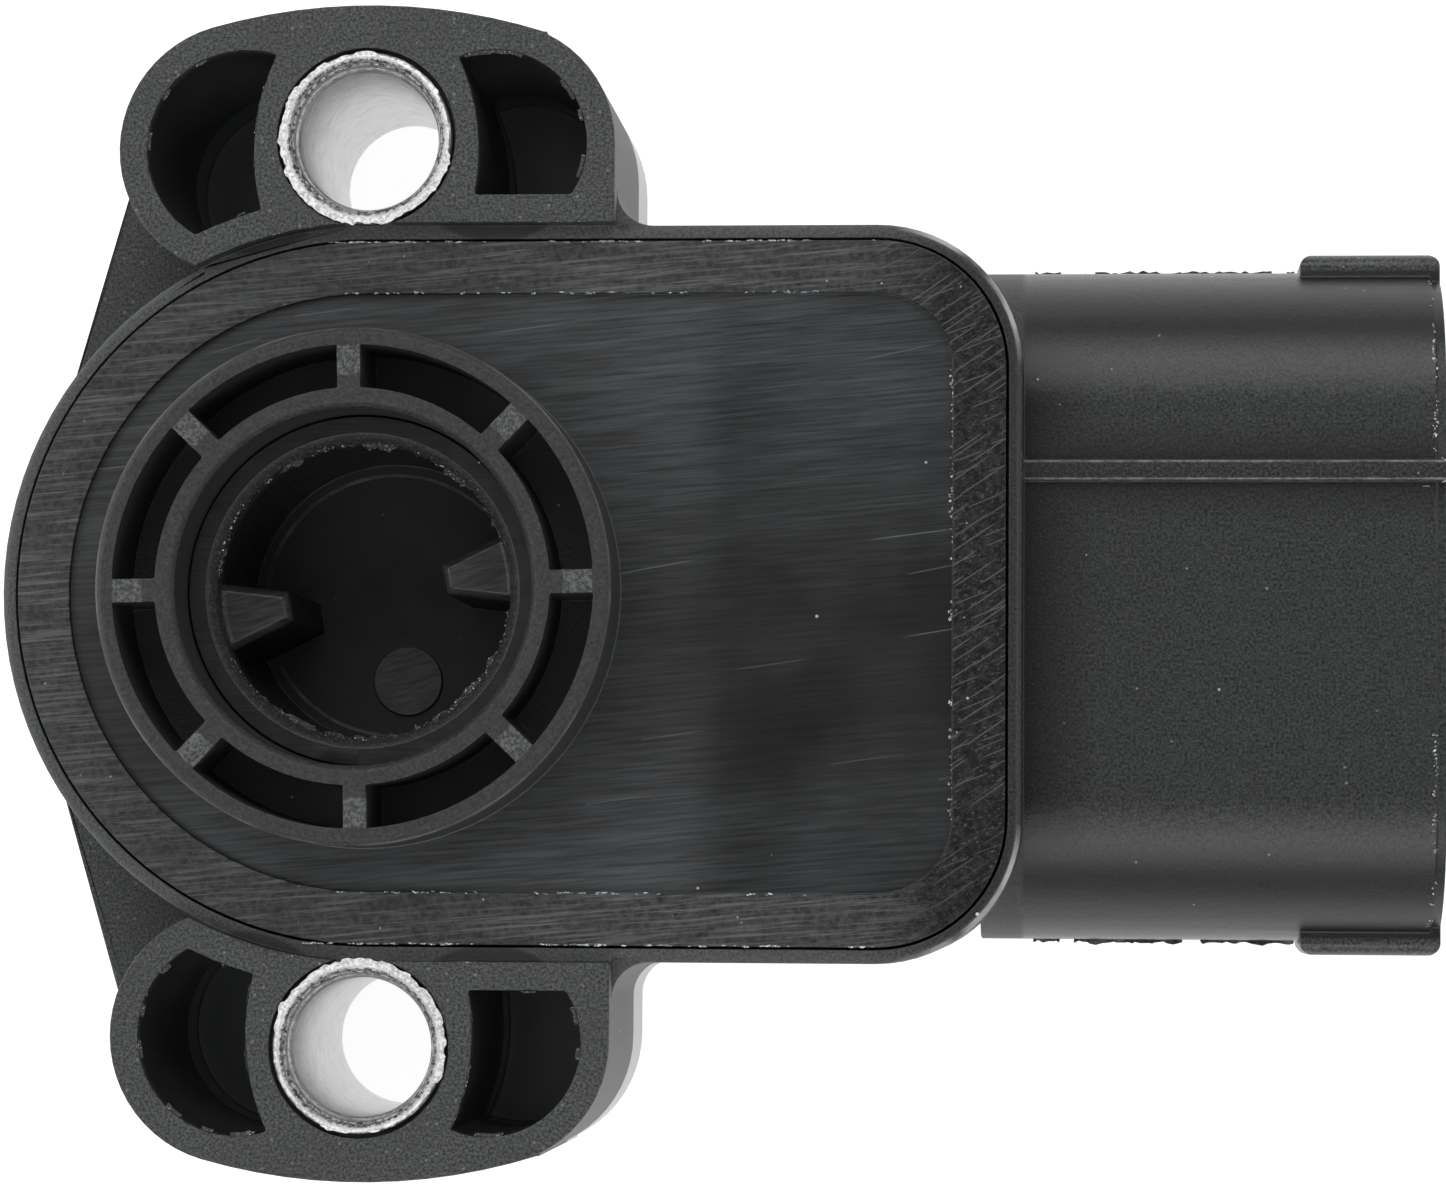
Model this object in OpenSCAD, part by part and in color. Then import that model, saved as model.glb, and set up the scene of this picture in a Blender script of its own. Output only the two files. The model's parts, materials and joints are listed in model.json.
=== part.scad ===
// Rotary throttle position sensor: moulded housing with two screw ears and a
// three-blade connector, welded rear cover with a ribbed locating collar, and
// a spring-returned rotor with two drive lugs.
// The origin is on the rotor axis, in the plane of the screw bushings' rear
// ends. +Z points to the throttle body, +X to the connector's mouth.

/* [Mounting] */
// Distance between the two screw holes
bolt_spacing = 32; // [31:0.5:35]
// Outer diameter of the metal bushings
bushing_od = 6; // [5.6:0.1:6.4]
// Screw hole in the bushings
bushing_bore = 4.9; // [4.2:0.1:5.1]
// Length of the bushings
bushing_length = 15; // [13.5:0.5:17]
// How far the bushings stand proud of the ears at each end
bushing_proud = 0.1; // [0.05:0.05:0.3]

/* [Ears] */
// Plastic outside the bushing hole, measured along the bolt line
ear_rim = 1.7; // [1.4:0.1:2.4]
// Radius of the ear's rounded side away from the connector
ear_lobe_r = 4.5; // [4.2:0.1:5]
// Radius of the ear's corner on the connector side
ear_corner_r = 4.3; // [4:0.1:4.8]
// Half width of an ear across the bolt line
ear_half_width = 8.8; // [8.5:0.1:9.6]
// Wall round the cored pockets
ear_wall = 1; // [0.8:0.05:1.4]
// Plastic left under the cored pockets
ear_floor = 1.8; // [1.2:0.1:3]
// Fillet between an ear and the body on the connector side
ear_fillet = 1.3; // [0.6:0.1:2]
// Depth of the sloping webs below the bushing ends
web_drop = 5; // [3:0.5:8]

/* [Body] */
// Distance from the rotor axis to the connector-side wall
body_reach = 23.1; // [22.5:0.1:26]
// Corner radius of the connector-side wall
body_corner_r = 5.1; // [4:0.1:6]
// Distance from the bushing ends down to the front face
body_depth = 16; // [16:0.1:18]
// Rounding of the front edge
front_edge_r = 0.8; // [0.4:0.1:1.2]
// Bevel along the outer edge of the rim
rim_bevel = 0.2; // [0.1:0.05:0.3]
// Depth of the housing rim below the bushing ends
rim_drop = 0.9; // [0.6:0.1:1.2]
// Side wall thickness
wall = 1.5; // [1.2:0.1:1.8]
// Floor thickness at the front
floor_t = 2; // [1.5:0.1:2.4]
// Lip of the housing round the cover
lip = 0.5; // [0.4:0.05:0.8]
// Depth of the sunk panel on the front
front_sink = 0.3; // [0.1:0.05:0.5]
// Width of the border round that panel
front_border = 2.6; // [2:0.1:3.5]

/* [Rear cover] */
// Thickness of the cover plate
cover_t = 1.8; // [1.5:0.1:2.2]
// Groove between cover and lip
cover_gap = 0.08; // [0.05:0.01:0.15]
// Height of the cover's border above the housing rim
cover_proud = 0.1; // [0:0.05:0.3]
// Width of the cover's border round the sunk panel
border = 1.85; // [1.2:0.05:2.2]
// Depth of the sunk panel
panel_sink = 0.25; // [0.1:0.05:0.5]
// Height of the collar above the bushing ends
collar_height = 2.7; // [2:0.1:4]
// Outer radius of the locating collar
collar_r = 9; // [8.8:0.1:9.6]
// Inner radius of the collar
collar_bore_r = 6.2; // [6:0.05:6.3]
// Thickness of the collar's inner ring
inner_ring = 0.7; // [0.5:0.05:0.8]
// Thickness of the collar's outer ring
outer_ring = 0.62; // [0.5:0.05:0.8]
// Number of ribs between the rings
rib_count = 8; // [4:1:12]
// Rib thickness
rib_t = 0.82; // [0.5:0.02:1.2]
// Turn of the ribs from the bolt line
rib_turn = 1.3; // [0:0.1:45]

/* [Rotor] */
// Radius of the drive socket
socket_r = 5.2; // [5:0.05:5.3]
// Bevel at the mouth of the drive socket
socket_bevel = 0.35; // [0.2:0.05:0.5]
// Distance from the axis to the tips of the drive lugs
lug_tip_r = 2.75; // [2:0.05:3.5]
// Width of a drive lug at its tip
lug_tip_w = 1.06; // [0.8:0.02:1.4]
// Width of a drive lug at its root
lug_root_w = 2.7; // [2:0.05:3.2]
// Bevel along the top edges of a drive lug
lug_bevel = 0.25; // [0.1:0.05:0.4]
// Angle of the lugs at rest
lug_angle = 10; // [0:1:45]
// Running clearance of the rotor in the cover and in its bearing
running_fit = 0.06; // [0.02:0.01:0.1]
// Thickness of the rotor's flange
flange_t = 1.6; // [1.2:0.1:2]
// Full travel of the rotor
travel = 100; // [60:5:110]

/* [Connector] */
// Width of the connector shell
shell_w = 24.2; // [23:0.1:25.2]
// Thickness of the connector shell
shell_h = 11; // [10.6:0.1:11.4]
// Radius of the shell's rounded edges
shell_r = 5.3; // [4:0.1:5.4]
// Wall of the shell
shell_wall = 1.4; // [1.1:0.1:1.5]
// Distance from the rotor axis to the shell's mouth
shell_reach = 38; // [36.5:0.5:44]
// Distance from the bushing ends down to the shell's rear surface
shell_drop = 3.6; // [3.2:0.1:4]
// Depth of the socket inside the shell
mouth_depth = 12.5; // [12:0.1:12.9]
// Distance between neighbouring terminals
pitch = 5; // [4:0.1:5.4]
// Width of a terminal blade
blade_w = 2.8; // [2:0.1:3]
// Thickness of the terminal strip
blade_t = 0.8; // [0.6:0.1:1]
// Distance from the mouth to the blade tips
blade_inset = 4.5; // [4.3:0.1:6]
// Place of the key rib across the shell
key_y = 4.5; // [2:0.5:7]
// Width of the key rib
key_w = 0.7; // [0.5:0.1:1.2]
// Height of the key rib
key_rise = 0.4; // [0.2:0.1:0.8]
// Length of the tabs at the mouth
tab_length = 5; // [3:0.2:7]
// Thickness of the tabs
tab_h = 4.2; // [3:0.2:6]
// How far the tabs stand out past the shell
tab_rise = 0.5; // [0.3:0.05:0.7]
// Width of the latch ramp on the front
latch_w = 7; // [5:0.5:9]
// Height of the latch ramp
latch_rise = 1.1; // [0.7:0.1:1.3]

/* [Hidden] */
$fn = 96;
eps = 0.01;

// Levels, from the throttle body side down to the front
ear_face_z = -bushing_proud;
ear_front_z = -bushing_length + bushing_proud;
rim_z = -rim_drop;
cover_top_z = rim_z + cover_proud;
cover_under_z = cover_top_z - cover_t;
panel_z = cover_top_z - panel_sink;
front_z = -body_depth;
floor_z = front_z + floor_t;

// Plan of the ears and of the body, whose sides just clear the bushings' holes
bolt_y = bolt_spacing / 2;
bushing_fit = 0.03;
body_r = bolt_y - bushing_od / 2 - bushing_fit;
ear_reach = bolt_y + bushing_od / 2 + ear_rim;
lobe_c = on_arc(-(ear_half_width - ear_lobe_r), ear_reach - ear_lobe_r);
corner_c = on_arc(ear_half_width - ear_corner_r, ear_reach - ear_corner_r);
pocket_web = bushing_od / 2 + ear_wall;
pocket_web_r = 8;
pocket_web_shift = 0.5;
bushing_relief = 0.18;
relief_depth = rim_drop - bushing_proud;
bushing_wall = (bushing_od - bushing_bore) / 2;
bushing_edge = 0.12 * bushing_wall;
lead_in = 0.45 * bushing_wall;
lead_in_depth = 0.15;
past_arc = 1.5;
web_turn = atan2(lobe_c[1], lobe_c[0]) + acos((body_r - ear_lobe_r) / norm(lobe_c));

// Plan of the cavity, the cover and its sunk panel
cavity_r = body_r - wall;
cavity_reach = body_reach - wall;
cavity_corner_r = body_corner_r - wall;
cover_r = body_r - lip - cover_gap;
cover_reach = body_reach - lip - cover_gap;
cover_corner_r = body_corner_r - lip - cover_gap;
panel_r = cover_r - border;
panel_reach = cover_reach - border;
panel_corner_r = cover_corner_r - border;
collar_edge = 0.2;
pocket_skin = 1.2;

// Levels of the rotor, the wiper and the board, stacked up from the floor
board_t = 0.8;
under_board = 1.2;
finger_room = 1.4;
hub_length = 1;
socket_skin = 0.3;
washer_room = 0.5;
board_z = floor_z + under_board;
board_top_z = board_z + board_t;
hub_z = board_top_z + finger_room;
flange_z = hub_z + hub_length;
flange_top_z = flange_z + flange_t;
socket_floor_z = flange_z + socket_skin;
shoulder_z = cover_under_z - washer_room;
rotor_top_z = -0.1;

// Radii of the rotor and the spring, out from the collar's bore
washer_w = 1.06;
wire_r = 0.35;
coil_room = 0.45;
flange_rim = 1.2;
flange_to_hub = 5.2;
neck_r = collar_bore_r - running_fit;
drum_r = neck_r + washer_w;
coil_r = drum_r + coil_room + wire_r;
flange_r = coil_r + flange_rim;
hub_r = flange_r - flange_to_hub;
socket_ring_r = socket_r - 0.4;
socket_ring_depth = 0.15;
rotor_edge = 0.2;
lug_drop = 1.2;
lug_sink = 0.3;
pad_at = [0.5, -2.8];
pad_r = 1.26;
pad_rise = 0.2;

// Bearing of the rotor in the floor
stub_r = 2;
stub_length = 2.8;
boss_r = hub_r - 0.6;
boss_gap = 0.4;
boss_z = hub_z - boss_gap;
thrust_t = 0.3;
thrust_play = [0.15, 0.1];

// Stops at both ends of the rotor's travel
stop_reach = cavity_r - 0.87;
stop_gap = 0.5;
stop_half = 8;
stop_at = 130;
stop_play = 2;
stop_rib_half = 3.5;
stop_rib_rise = 1;
stop_angles = [
    stop_at - stop_half - stop_play - stop_rib_half,
    stop_at + travel + stop_half + stop_play + stop_rib_half
];

// Heat stakes that hold the board
board_play = 0.3;
notch_play = 0.25;
play_turn = 5;
stake_r = 0.6;
stake_fit = 0.1;
stake_head_r = 1;
stake_head_t = 0.4;
stake_inset = 5.5;
stake_y = cavity_r - stake_head_r - board_play;
stakes = [
    [0, stake_y], [0, -stake_y],
    [cavity_reach - stake_inset, stake_y], [cavity_reach - stake_inset, -stake_y]
];

// Tracks on the board and the wiper with its fingers
track_t = 0.08;
track_w = 1.8;
track_inset = 1.6;
track_step = 2.3;
track_r = [flange_r - track_inset - track_step, flange_r - track_inset];
track_gap_half = 60;
wiper_t = 0.25;
wiper_gap = 0.1;
wiper_turn = 225;
wiper_half = 38;
wiper_r = [hub_r + 0.8, flange_r - 0.4];
finger_w = 0.6;
finger_pitch = 0.85;
finger_grip = 1.2;
finger_bend = 0.2;
finger_reach = 3.8;
finger_mid = finger_reach / 2;
contact_half = 0.6;
contact_flat = 0.2;
contact_rise = 0.5;
rivet_at = [-20, 20];
rivet_circle_r = (wiper_r[0] + wiper_r[1]) / 2;
rivet_r = 0.5;
rivet_fit = 0.02;
rivet_head = 0.3;

// Waves of the spring washer round its ring
wave_steps = 72;
wave_count = 3;
wave_t = 0.14;
wave_play = [0.15, 0.1];

// Spring
coil_play = [0.25, 0.15];
coil_pitch = 1.17;
coil_steps = 24;
coil_top_z = shoulder_z - wire_r - coil_play[0];
coil_bottom_z = flange_top_z + wire_r + coil_play[1];
fixed_leg = 6.8;
moving_leg = 4.2;
fixed_leg_at = 20;
moving_leg_at = 290;
coil_turns = round((coil_top_z - coil_bottom_z) / coil_pitch + (moving_leg_at - fixed_leg_at) / 360);
peg_r = 0.6;
peg_h = 0.85;
seat_gap = 0.05;
spring_rib_t = 1.1;
spring_rib_overlap = 1.4;
spring_rib_rise = 0.4;

// Connector levels and places
shell_top_z = -shell_drop;
shell_z = shell_top_z - shell_h / 2;
shell_front_z = shell_top_z - shell_h;
mouth_x = shell_reach - mouth_depth;
blade_tip_x = shell_reach - blade_inset;
tail_x = cavity_reach - 3.8;
tail_w = 1;
tail_stub = 0.8;
tail_z = board_z - tail_stub;
tail_play = 0.3;
solder_x = tail_x - 1.9;
solder_length = 1.2;
solder_w = 1.8;
lead_w = 1.2;
lead_from = turned(track_r[1], track_gap_half);
strip_w = 1.6;
neck_x = mouth_x - 1.5;
bend_r = 1;
tip_bevel = 0.5;
latch_at = shell_reach - 3;
latch_slope = 3;
latch_flat = 1;
rail_w = 1;
rail_rise = 0.9;
rail_y = 6;
key_over = 0.12;
tab_y = shell_w / 2 + tab_rise;
tab_corner_r = 0.45;
mouth_step = 0.35;

// A centre at distance d from the rotor axis with the given x, above the axis
function on_arc(x, d) = [x, sqrt(d * d - x * x)];
function turned(r, a) = [r * cos(a), r * sin(a)];

// Outline with a round end about the axis and a squared end with two corners
module d_outline(r, reach, corner) {
    circle(r);
    translate([0, -r]) square([reach - corner, 2 * r]);
    translate([0, -(r - corner)]) square([reach, 2 * (r - corner)]);
    for (side = [-1, 1])
        translate([reach - corner, side * (r - corner)]) circle(corner);
}

// Half section of a block, its lower outer edge rounded and its upper one bevelled
module edge_section(w, z0, z1, edge, bevel) {
    polygon([
        [0, z0], [w - edge, z0], [w - edge, z0 + edge], [w, z0 + edge],
        [w, z1 - bevel], [w - bevel, z1], [0, z1]
    ]);
    translate([w - edge, z0 + edge]) circle(edge, $fn = 32);
}

// Block on the d_outline with the edges of edge_section
module d_block(r, reach, corner, z0, z1, edge, bevel) {
    rotate_extrude() edge_section(r, z0, z1, edge, bevel);
    for (side = [-1, 1])
        translate([reach - corner, side * (r - corner), 0])
            rotate_extrude() edge_section(corner, z0, z1, edge, bevel);
    for (side = [0, 1])
        mirror([0, side, 0]) rotate([90, 0, 90])
            linear_extrude(reach - corner) edge_section(r, z0, z1, edge, bevel);
    translate([0, r - corner, 0]) rotate([90, 0, 0])
        linear_extrude(2 * (r - corner)) edge_section(reach, z0, z1, edge, bevel);
}

// Plate between two levels
module slab(z0, z1) {
    translate([0, 0, z0]) linear_extrude(z1 - z0) children();
}

// Both ears: the children are drawn above the axis and mirrored below it
module both_sides() {
    for (side = [0, 1]) mirror([0, side, 0]) children();
}

// Sector from the axis between two angles less than 180 degrees apart
module wedge(a0, a1, r) {
    polygon([[0, 0], turned(r, a0), turned(r, (a0 + a1) / 2) * past_arc, turned(r, a1)]);
}

module ear_outline() {
    intersection() {
        circle(ear_reach);
        polygon([[0, 0], lobe_c * past_arc, corner_c * past_arc, [corner_c[0], 0]]);
    }
    translate(lobe_c) circle(ear_lobe_r);
    translate(corner_c) circle(ear_corner_r);
    translate([corner_c[0] - eps, 0]) square([ear_corner_r + eps, corner_c[1]]);
}

module ear_fillet_outline() {
    difference() {
        translate([ear_half_width - eps, body_r - eps]) square(ear_fillet + eps);
        translate([ear_half_width + ear_fillet, body_r + ear_fillet]) circle(ear_fillet);
    }
}

// Cored pockets beside the bushing, parted by a web with two flat curves
module pocket_outlines() {
    difference() {
        union() {
            translate(lobe_c) circle(ear_lobe_r - ear_wall);
            translate(corner_c) circle(ear_corner_r - ear_wall);
        }
        circle(body_r + ear_wall);
        square([ear_half_width, body_r + ear_wall]);
        intersection() {
            translate([pocket_web_r - pocket_web, bolt_y - pocket_web_shift]) circle(pocket_web_r);
            translate([pocket_web - pocket_web_r, bolt_y - pocket_web_shift]) circle(pocket_web_r);
        }
    }
}

module ears() {
    both_sides() difference() {
        union() {
            slab(ear_front_z, ear_face_z) ear_outline();
            slab(ear_front_z, rim_z - rim_bevel) ear_fillet_outline();
            slab(ear_front_z, -web_drop)
                polygon([[0, 0], turned(body_r, web_turn),
                    lobe_c + turned(ear_lobe_r, web_turn), lobe_c]);
        }
        slab(ear_front_z + ear_floor, 0) pocket_outlines();
        translate([0, bolt_y, ear_front_z - eps])
            cylinder(h = bushing_length, r = bushing_od / 2 + bushing_fit);
        translate([0, bolt_y, ear_face_z - relief_depth])
            cylinder(h = relief_depth + eps, r = bushing_od / 2 + bushing_relief);
        slab(rim_z, eps) d_outline(body_r, body_reach, body_corner_r);
    }
}

// Section of the connector shell across the plug's way in
module shell_section(w, h, r) {
    square([w - 2 * r, h], center = true);
    square([w, h - 2 * r], center = true);
    for (sx = [-1, 1], sy = [-1, 1])
        translate([sx * (w / 2 - r), sy * (h / 2 - r)]) circle(r);
}

// Place a section of the shell at x, drawn with its width along Y
module along_shell(x0, x1) {
    translate([x0, 0, shell_z]) rotate([90, 0, 90]) linear_extrude(x1 - x0) children();
}

// Block out to the tabs' outer face, with its two outer corners rounded
module rounded_end(w) {
    translate([0, tab_y - shell_wall - tab_rise]) square([w, shell_wall + tab_rise - tab_corner_r]);
    translate([tab_corner_r, tab_y - shell_wall - tab_rise])
        square([w - 2 * tab_corner_r, shell_wall + tab_rise]);
    for (x = [tab_corner_r, w - tab_corner_r])
        translate([x, tab_y - tab_corner_r]) circle(tab_corner_r, $fn = 32);
}

// Outside of the connector, with its end tabs, key rib, latch and guide rails
module connector_outside() {
    along_shell(cavity_reach, shell_reach - mouth_step)
        shell_section(shell_w, shell_h, shell_r);
    along_shell(cavity_reach, shell_reach)
        shell_section(shell_w - mouth_step, shell_h - mouth_step, shell_r - mouth_step / 2);
    both_sides() intersection() {
        slab(shell_z - tab_h / 2, shell_z + tab_h / 2)
            translate([shell_reach - tab_length, 0]) rounded_end(tab_length);
        along_shell(shell_reach - tab_length, shell_reach)
            rotate(-90) translate([-tab_h / 2, 0]) rounded_end(tab_h);
    }
    translate([cavity_reach, key_y - key_w / 2, shell_top_z - shell_wall / 2])
        cube([shell_reach + key_over - cavity_reach, key_w, shell_wall / 2 + key_rise]);
    for (side = [-1, 1])
        translate([cavity_reach, side * rail_y - rail_w / 2, shell_front_z - rail_rise])
            cube([shell_reach - cavity_reach, rail_w, rail_rise + shell_wall / 2]);
    translate([0, latch_w / 2, 0]) rotate([90, 0, 0]) linear_extrude(latch_w)
        polygon([
            [latch_at - latch_slope - latch_flat, shell_front_z + shell_wall / 2],
            [latch_at - latch_slope - latch_flat, shell_front_z - latch_rise],
            [latch_at - latch_slope, shell_front_z - latch_rise],
            [latch_at, shell_front_z],
            [latch_at, shell_front_z + shell_wall / 2]
        ]);
}

// Radial rib on the cavity wall that stops the rotor, grown by play for its notch
module stop_rib(angle, play) {
    intersection() {
        difference() {
            circle(cavity_r + eps);
            circle(flange_r + stop_gap - play);
        }
        wedge(angle - stop_rib_half - play * play_turn,
            angle + stop_rib_half + play * play_turn, body_r);
    }
}

// Rib that holds the spring's fixed leg
module spring_rib(play) {
    intersection() {
        circle(cavity_r + eps);
        rotate(fixed_leg_at)
            translate([coil_r + wire_r + seat_gap - play, fixed_leg - spring_rib_overlap - play])
                square([spring_rib_t + 2 * play, cavity_r]);
    }
}

module housing_inside() {
    difference() {
        translate([0, 0, floor_z - eps]) cylinder(h = boss_z - floor_z + eps, r = boss_r);
        translate([0, 0, floor_z])
            cylinder(h = boss_z - floor_z + eps, r = stub_r + running_fit);
    }
    for (at = stakes) translate([at[0], at[1], 0]) {
        translate([0, 0, floor_z - eps]) cylinder(h = board_z - floor_z + eps, r = stake_head_r);
        translate([0, 0, board_z - eps])
            cylinder(h = board_t + stake_head_t / 2 + 2 * eps, r = stake_r);
        translate([0, 0, board_top_z]) cylinder(h = stake_head_t, r = stake_head_r);
    }
    for (angle = stop_angles)
        slab(floor_z - eps, flange_top_z + stop_rib_rise) stop_rib(angle, 0);
    slab(floor_z - eps, coil_top_z + spring_rib_rise) spring_rib(0);
}

module housing() color("#2b2d2f") {
    difference() {
        union() {
            d_block(body_r, body_reach, body_corner_r, front_z, rim_z, front_edge_r, rim_bevel);
            ears();
            connector_outside();
        }
        slab(front_z - eps, front_z + front_sink)
            d_outline(body_r - front_border, body_reach - front_border, body_corner_r - front_border);
        slab(floor_z, eps) d_outline(cavity_r, cavity_reach, cavity_corner_r);
        slab(cover_under_z, eps)
            d_outline(cover_r + cover_gap, cover_reach + cover_gap, cover_corner_r + cover_gap);
        along_shell(mouth_x, shell_reach + 1)
            shell_section(shell_w - 2 * shell_wall, shell_h - 2 * shell_wall, shell_r - shell_wall);
        for (place = [-1, 0, 1]) terminal(place);
    }
    housing_inside();
}

// Cover plate with the sunk panel and the cored locating collar
module rear_cover() color("#303234") difference() {
    union() {
        slab(cover_under_z, cover_top_z) difference() {
            d_outline(cover_r, cover_reach, cover_corner_r);
            circle(collar_bore_r + inner_ring);
        }
        rotate_extrude() polygon([
            [collar_bore_r, cover_under_z],
            [collar_r, cover_under_z],
            [collar_r, collar_height - collar_edge],
            [collar_r - collar_edge, collar_height],
            [collar_bore_r + collar_edge, collar_height],
            [collar_bore_r, collar_height - collar_edge]
        ]);
    }
    slab(panel_z, collar_height + eps) difference() {
        d_outline(panel_r, panel_reach, panel_corner_r);
        circle(collar_r);
    }
    slab(cover_under_z + pocket_skin, collar_height + eps) difference() {
        circle(collar_r - outer_ring);
        circle(collar_bore_r + inner_ring);
        for (i = [0 : rib_count - 1])
            rotate(90 + rib_turn + i * 360 / rib_count)
                translate([0, -rib_t / 2]) square([collar_r, rib_t]);
    }
}

// Turned sleeve, its bore opened to a lead-in and its outer edges broken at both ends
module bushing() {
    bore_r = bushing_bore / 2;
    outer_r = bushing_od / 2;
    translate([0, bolt_y, 0]) rotate_extrude() polygon([
        [bore_r, lead_in_depth - bushing_length],
        [bore_r + lead_in, -bushing_length],
        [outer_r - bushing_edge, -bushing_length],
        [outer_r, bushing_edge - bushing_length],
        [outer_r, -bushing_edge],
        [outer_r - bushing_edge, 0],
        [bore_r + lead_in, 0],
        [bore_r, -lead_in_depth]
    ]);
}

module upper_bushing() color("#c9cbcd") bushing();
module lower_bushing() color("#c9cbcd") mirror([0, 1, 0]) bushing();

// Lug on the socket's wall, narrower at its tip, with its top edges bevelled
module drive_lug() {
    root = socket_r + lug_sink;
    top = rotor_top_z - lug_drop;
    edge = lug_bevel * sqrt(2);
    flank = atan2((lug_root_w - lug_tip_w) / 2, root - lug_tip_r);
    difference() {
        slab(socket_floor_z - socket_skin, top) polygon([
            [lug_tip_r, -lug_tip_w / 2], [root, -lug_root_w / 2],
            [root, lug_root_w / 2], [lug_tip_r, lug_tip_w / 2]
        ]);
        translate([lug_tip_r, 0, top]) rotate([0, 45, 0])
            cube([edge, 2 * lug_tip_w, edge], center = true);
        for (side = [-1, 1])
            translate([lug_tip_r, side * lug_tip_w / 2, top]) rotate([0, 0, side * flank])
                rotate([45, 0, 0]) cube([2 * root, edge, edge], center = true);
    }
}

// Rotor: neck in the collar, drum inside the spring, flange, hub and stub
module rotor() color("#26282a") {
    difference() {
        rotate_extrude() polygon([
            [0, hub_z - stub_length],
            [stub_r - rotor_edge, hub_z - stub_length],
            [stub_r, hub_z - stub_length + rotor_edge],
            [stub_r, hub_z],
            [hub_r, hub_z],
            [hub_r, flange_z],
            [flange_r, flange_z],
            [flange_r, flange_top_z],
            [drum_r, flange_top_z],
            [drum_r, shoulder_z],
            [neck_r, shoulder_z],
            [neck_r, rotor_top_z],
            [socket_r + socket_bevel, rotor_top_z],
            [socket_r, rotor_top_z - socket_bevel],
            [socket_r, socket_floor_z],
            [0, socket_floor_z]
        ]);
        translate([0, 0, socket_floor_z - socket_ring_depth])
            cylinder(h = 2 * socket_ring_depth, r = socket_ring_r);
    }
    translate([pad_at[0], pad_at[1], socket_floor_z - socket_skin])
        cylinder(h = socket_skin + pad_rise - socket_ring_depth, r = pad_r);
    for (half = [0, 180]) rotate(lug_angle + half) drive_lug();
    slab(flange_z, flange_top_z) intersection() {
        difference() {
            circle(stop_reach);
            circle(flange_r - eps);
        }
        wedge(stop_at - stop_half, stop_at + stop_half, body_r);
    }
    rotate(moving_leg_at)
        translate([coil_r - wire_r - seat_gap - peg_r, -(moving_leg - peg_r), flange_top_z - eps])
            cylinder(h = peg_h + eps, r = peg_r);
    for (a = rivet_at) rotate(wiper_turn + a)
        translate([rivet_circle_r, 0, flange_z - wiper_t - rivet_head])
            cylinder(h = wiper_t + 2 * rivet_head, r = rivet_r);
}

// Contact spring under the flange, with one finger on each track
module wiper_finger(r, w) {
    drop = flange_z - wiper_t - board_top_z - track_t - wiper_gap;
    rotate(wiper_turn + wiper_half + atan(finger_mid / r))
        translate([r - w / 2, -finger_mid, flange_z - wiper_t])
        rotate([90, 0, 90]) linear_extrude(w) polygon([
            [-finger_grip, 0], [-finger_grip, wiper_t], [finger_bend, wiper_t],
            [finger_reach - contact_half, contact_rise + wiper_t - drop],
            [finger_reach, wiper_t - drop],
            [finger_reach + contact_half, contact_rise + wiper_t - drop],
            [finger_reach + contact_half + wiper_t, contact_rise - drop],
            [finger_reach + contact_flat, -drop],
            [finger_reach - contact_flat, -drop],
            [finger_reach - contact_half - contact_flat, contact_rise - drop],
            [0, 0]
        ]);
}

module wiper() color("#c8a860") {
    slab(flange_z - wiper_t, flange_z) difference() {
        intersection() {
            difference() {
                circle(wiper_r[1]);
                circle(wiper_r[0]);
            }
            wedge(wiper_turn - wiper_half, wiper_turn + wiper_half, body_r);
        }
        for (a = rivet_at) rotate(wiper_turn + a)
            translate([rivet_circle_r, 0]) circle(rivet_r + rivet_fit);
    }
    for (r = track_r, side = [-1, 1])
        wiper_finger(r + side * finger_pitch / 2, finger_w);
}

// Thin washer bent into waves, drawn as a closed ring of four-sided sections
module wave_washer() {
    inner = neck_r + wave_play[0];
    outer = drum_r + wave_play[1];
    skin = wave_t / 2;
    lift = washer_room / 2 - skin - seat_gap;
    function level(a) = (cover_under_z + shoulder_z) / 2 + lift * sin(wave_count * a);
    function corner(r, a, dz) = concat(turned(r, a), [level(a) + dz]);
    function section(a) = [
        corner(inner, a, -skin), corner(outer, a, -skin), corner(outer, a, skin), corner(inner, a, skin)
    ];
    ring_points = [for (i = [0 : wave_steps - 1]) each section(360 * i / wave_steps)];
    ring_faces = [for (i = [0 : wave_steps - 1], k = [0 : 3])
        [4 * i + k, 4 * i + (k + 1) % 4,
         4 * ((i + 1) % wave_steps) + (k + 1) % 4, 4 * ((i + 1) % wave_steps) + k]];
    color("#b9bcc0") polyhedron(ring_points, ring_faces, convexity = 4);
}

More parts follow.
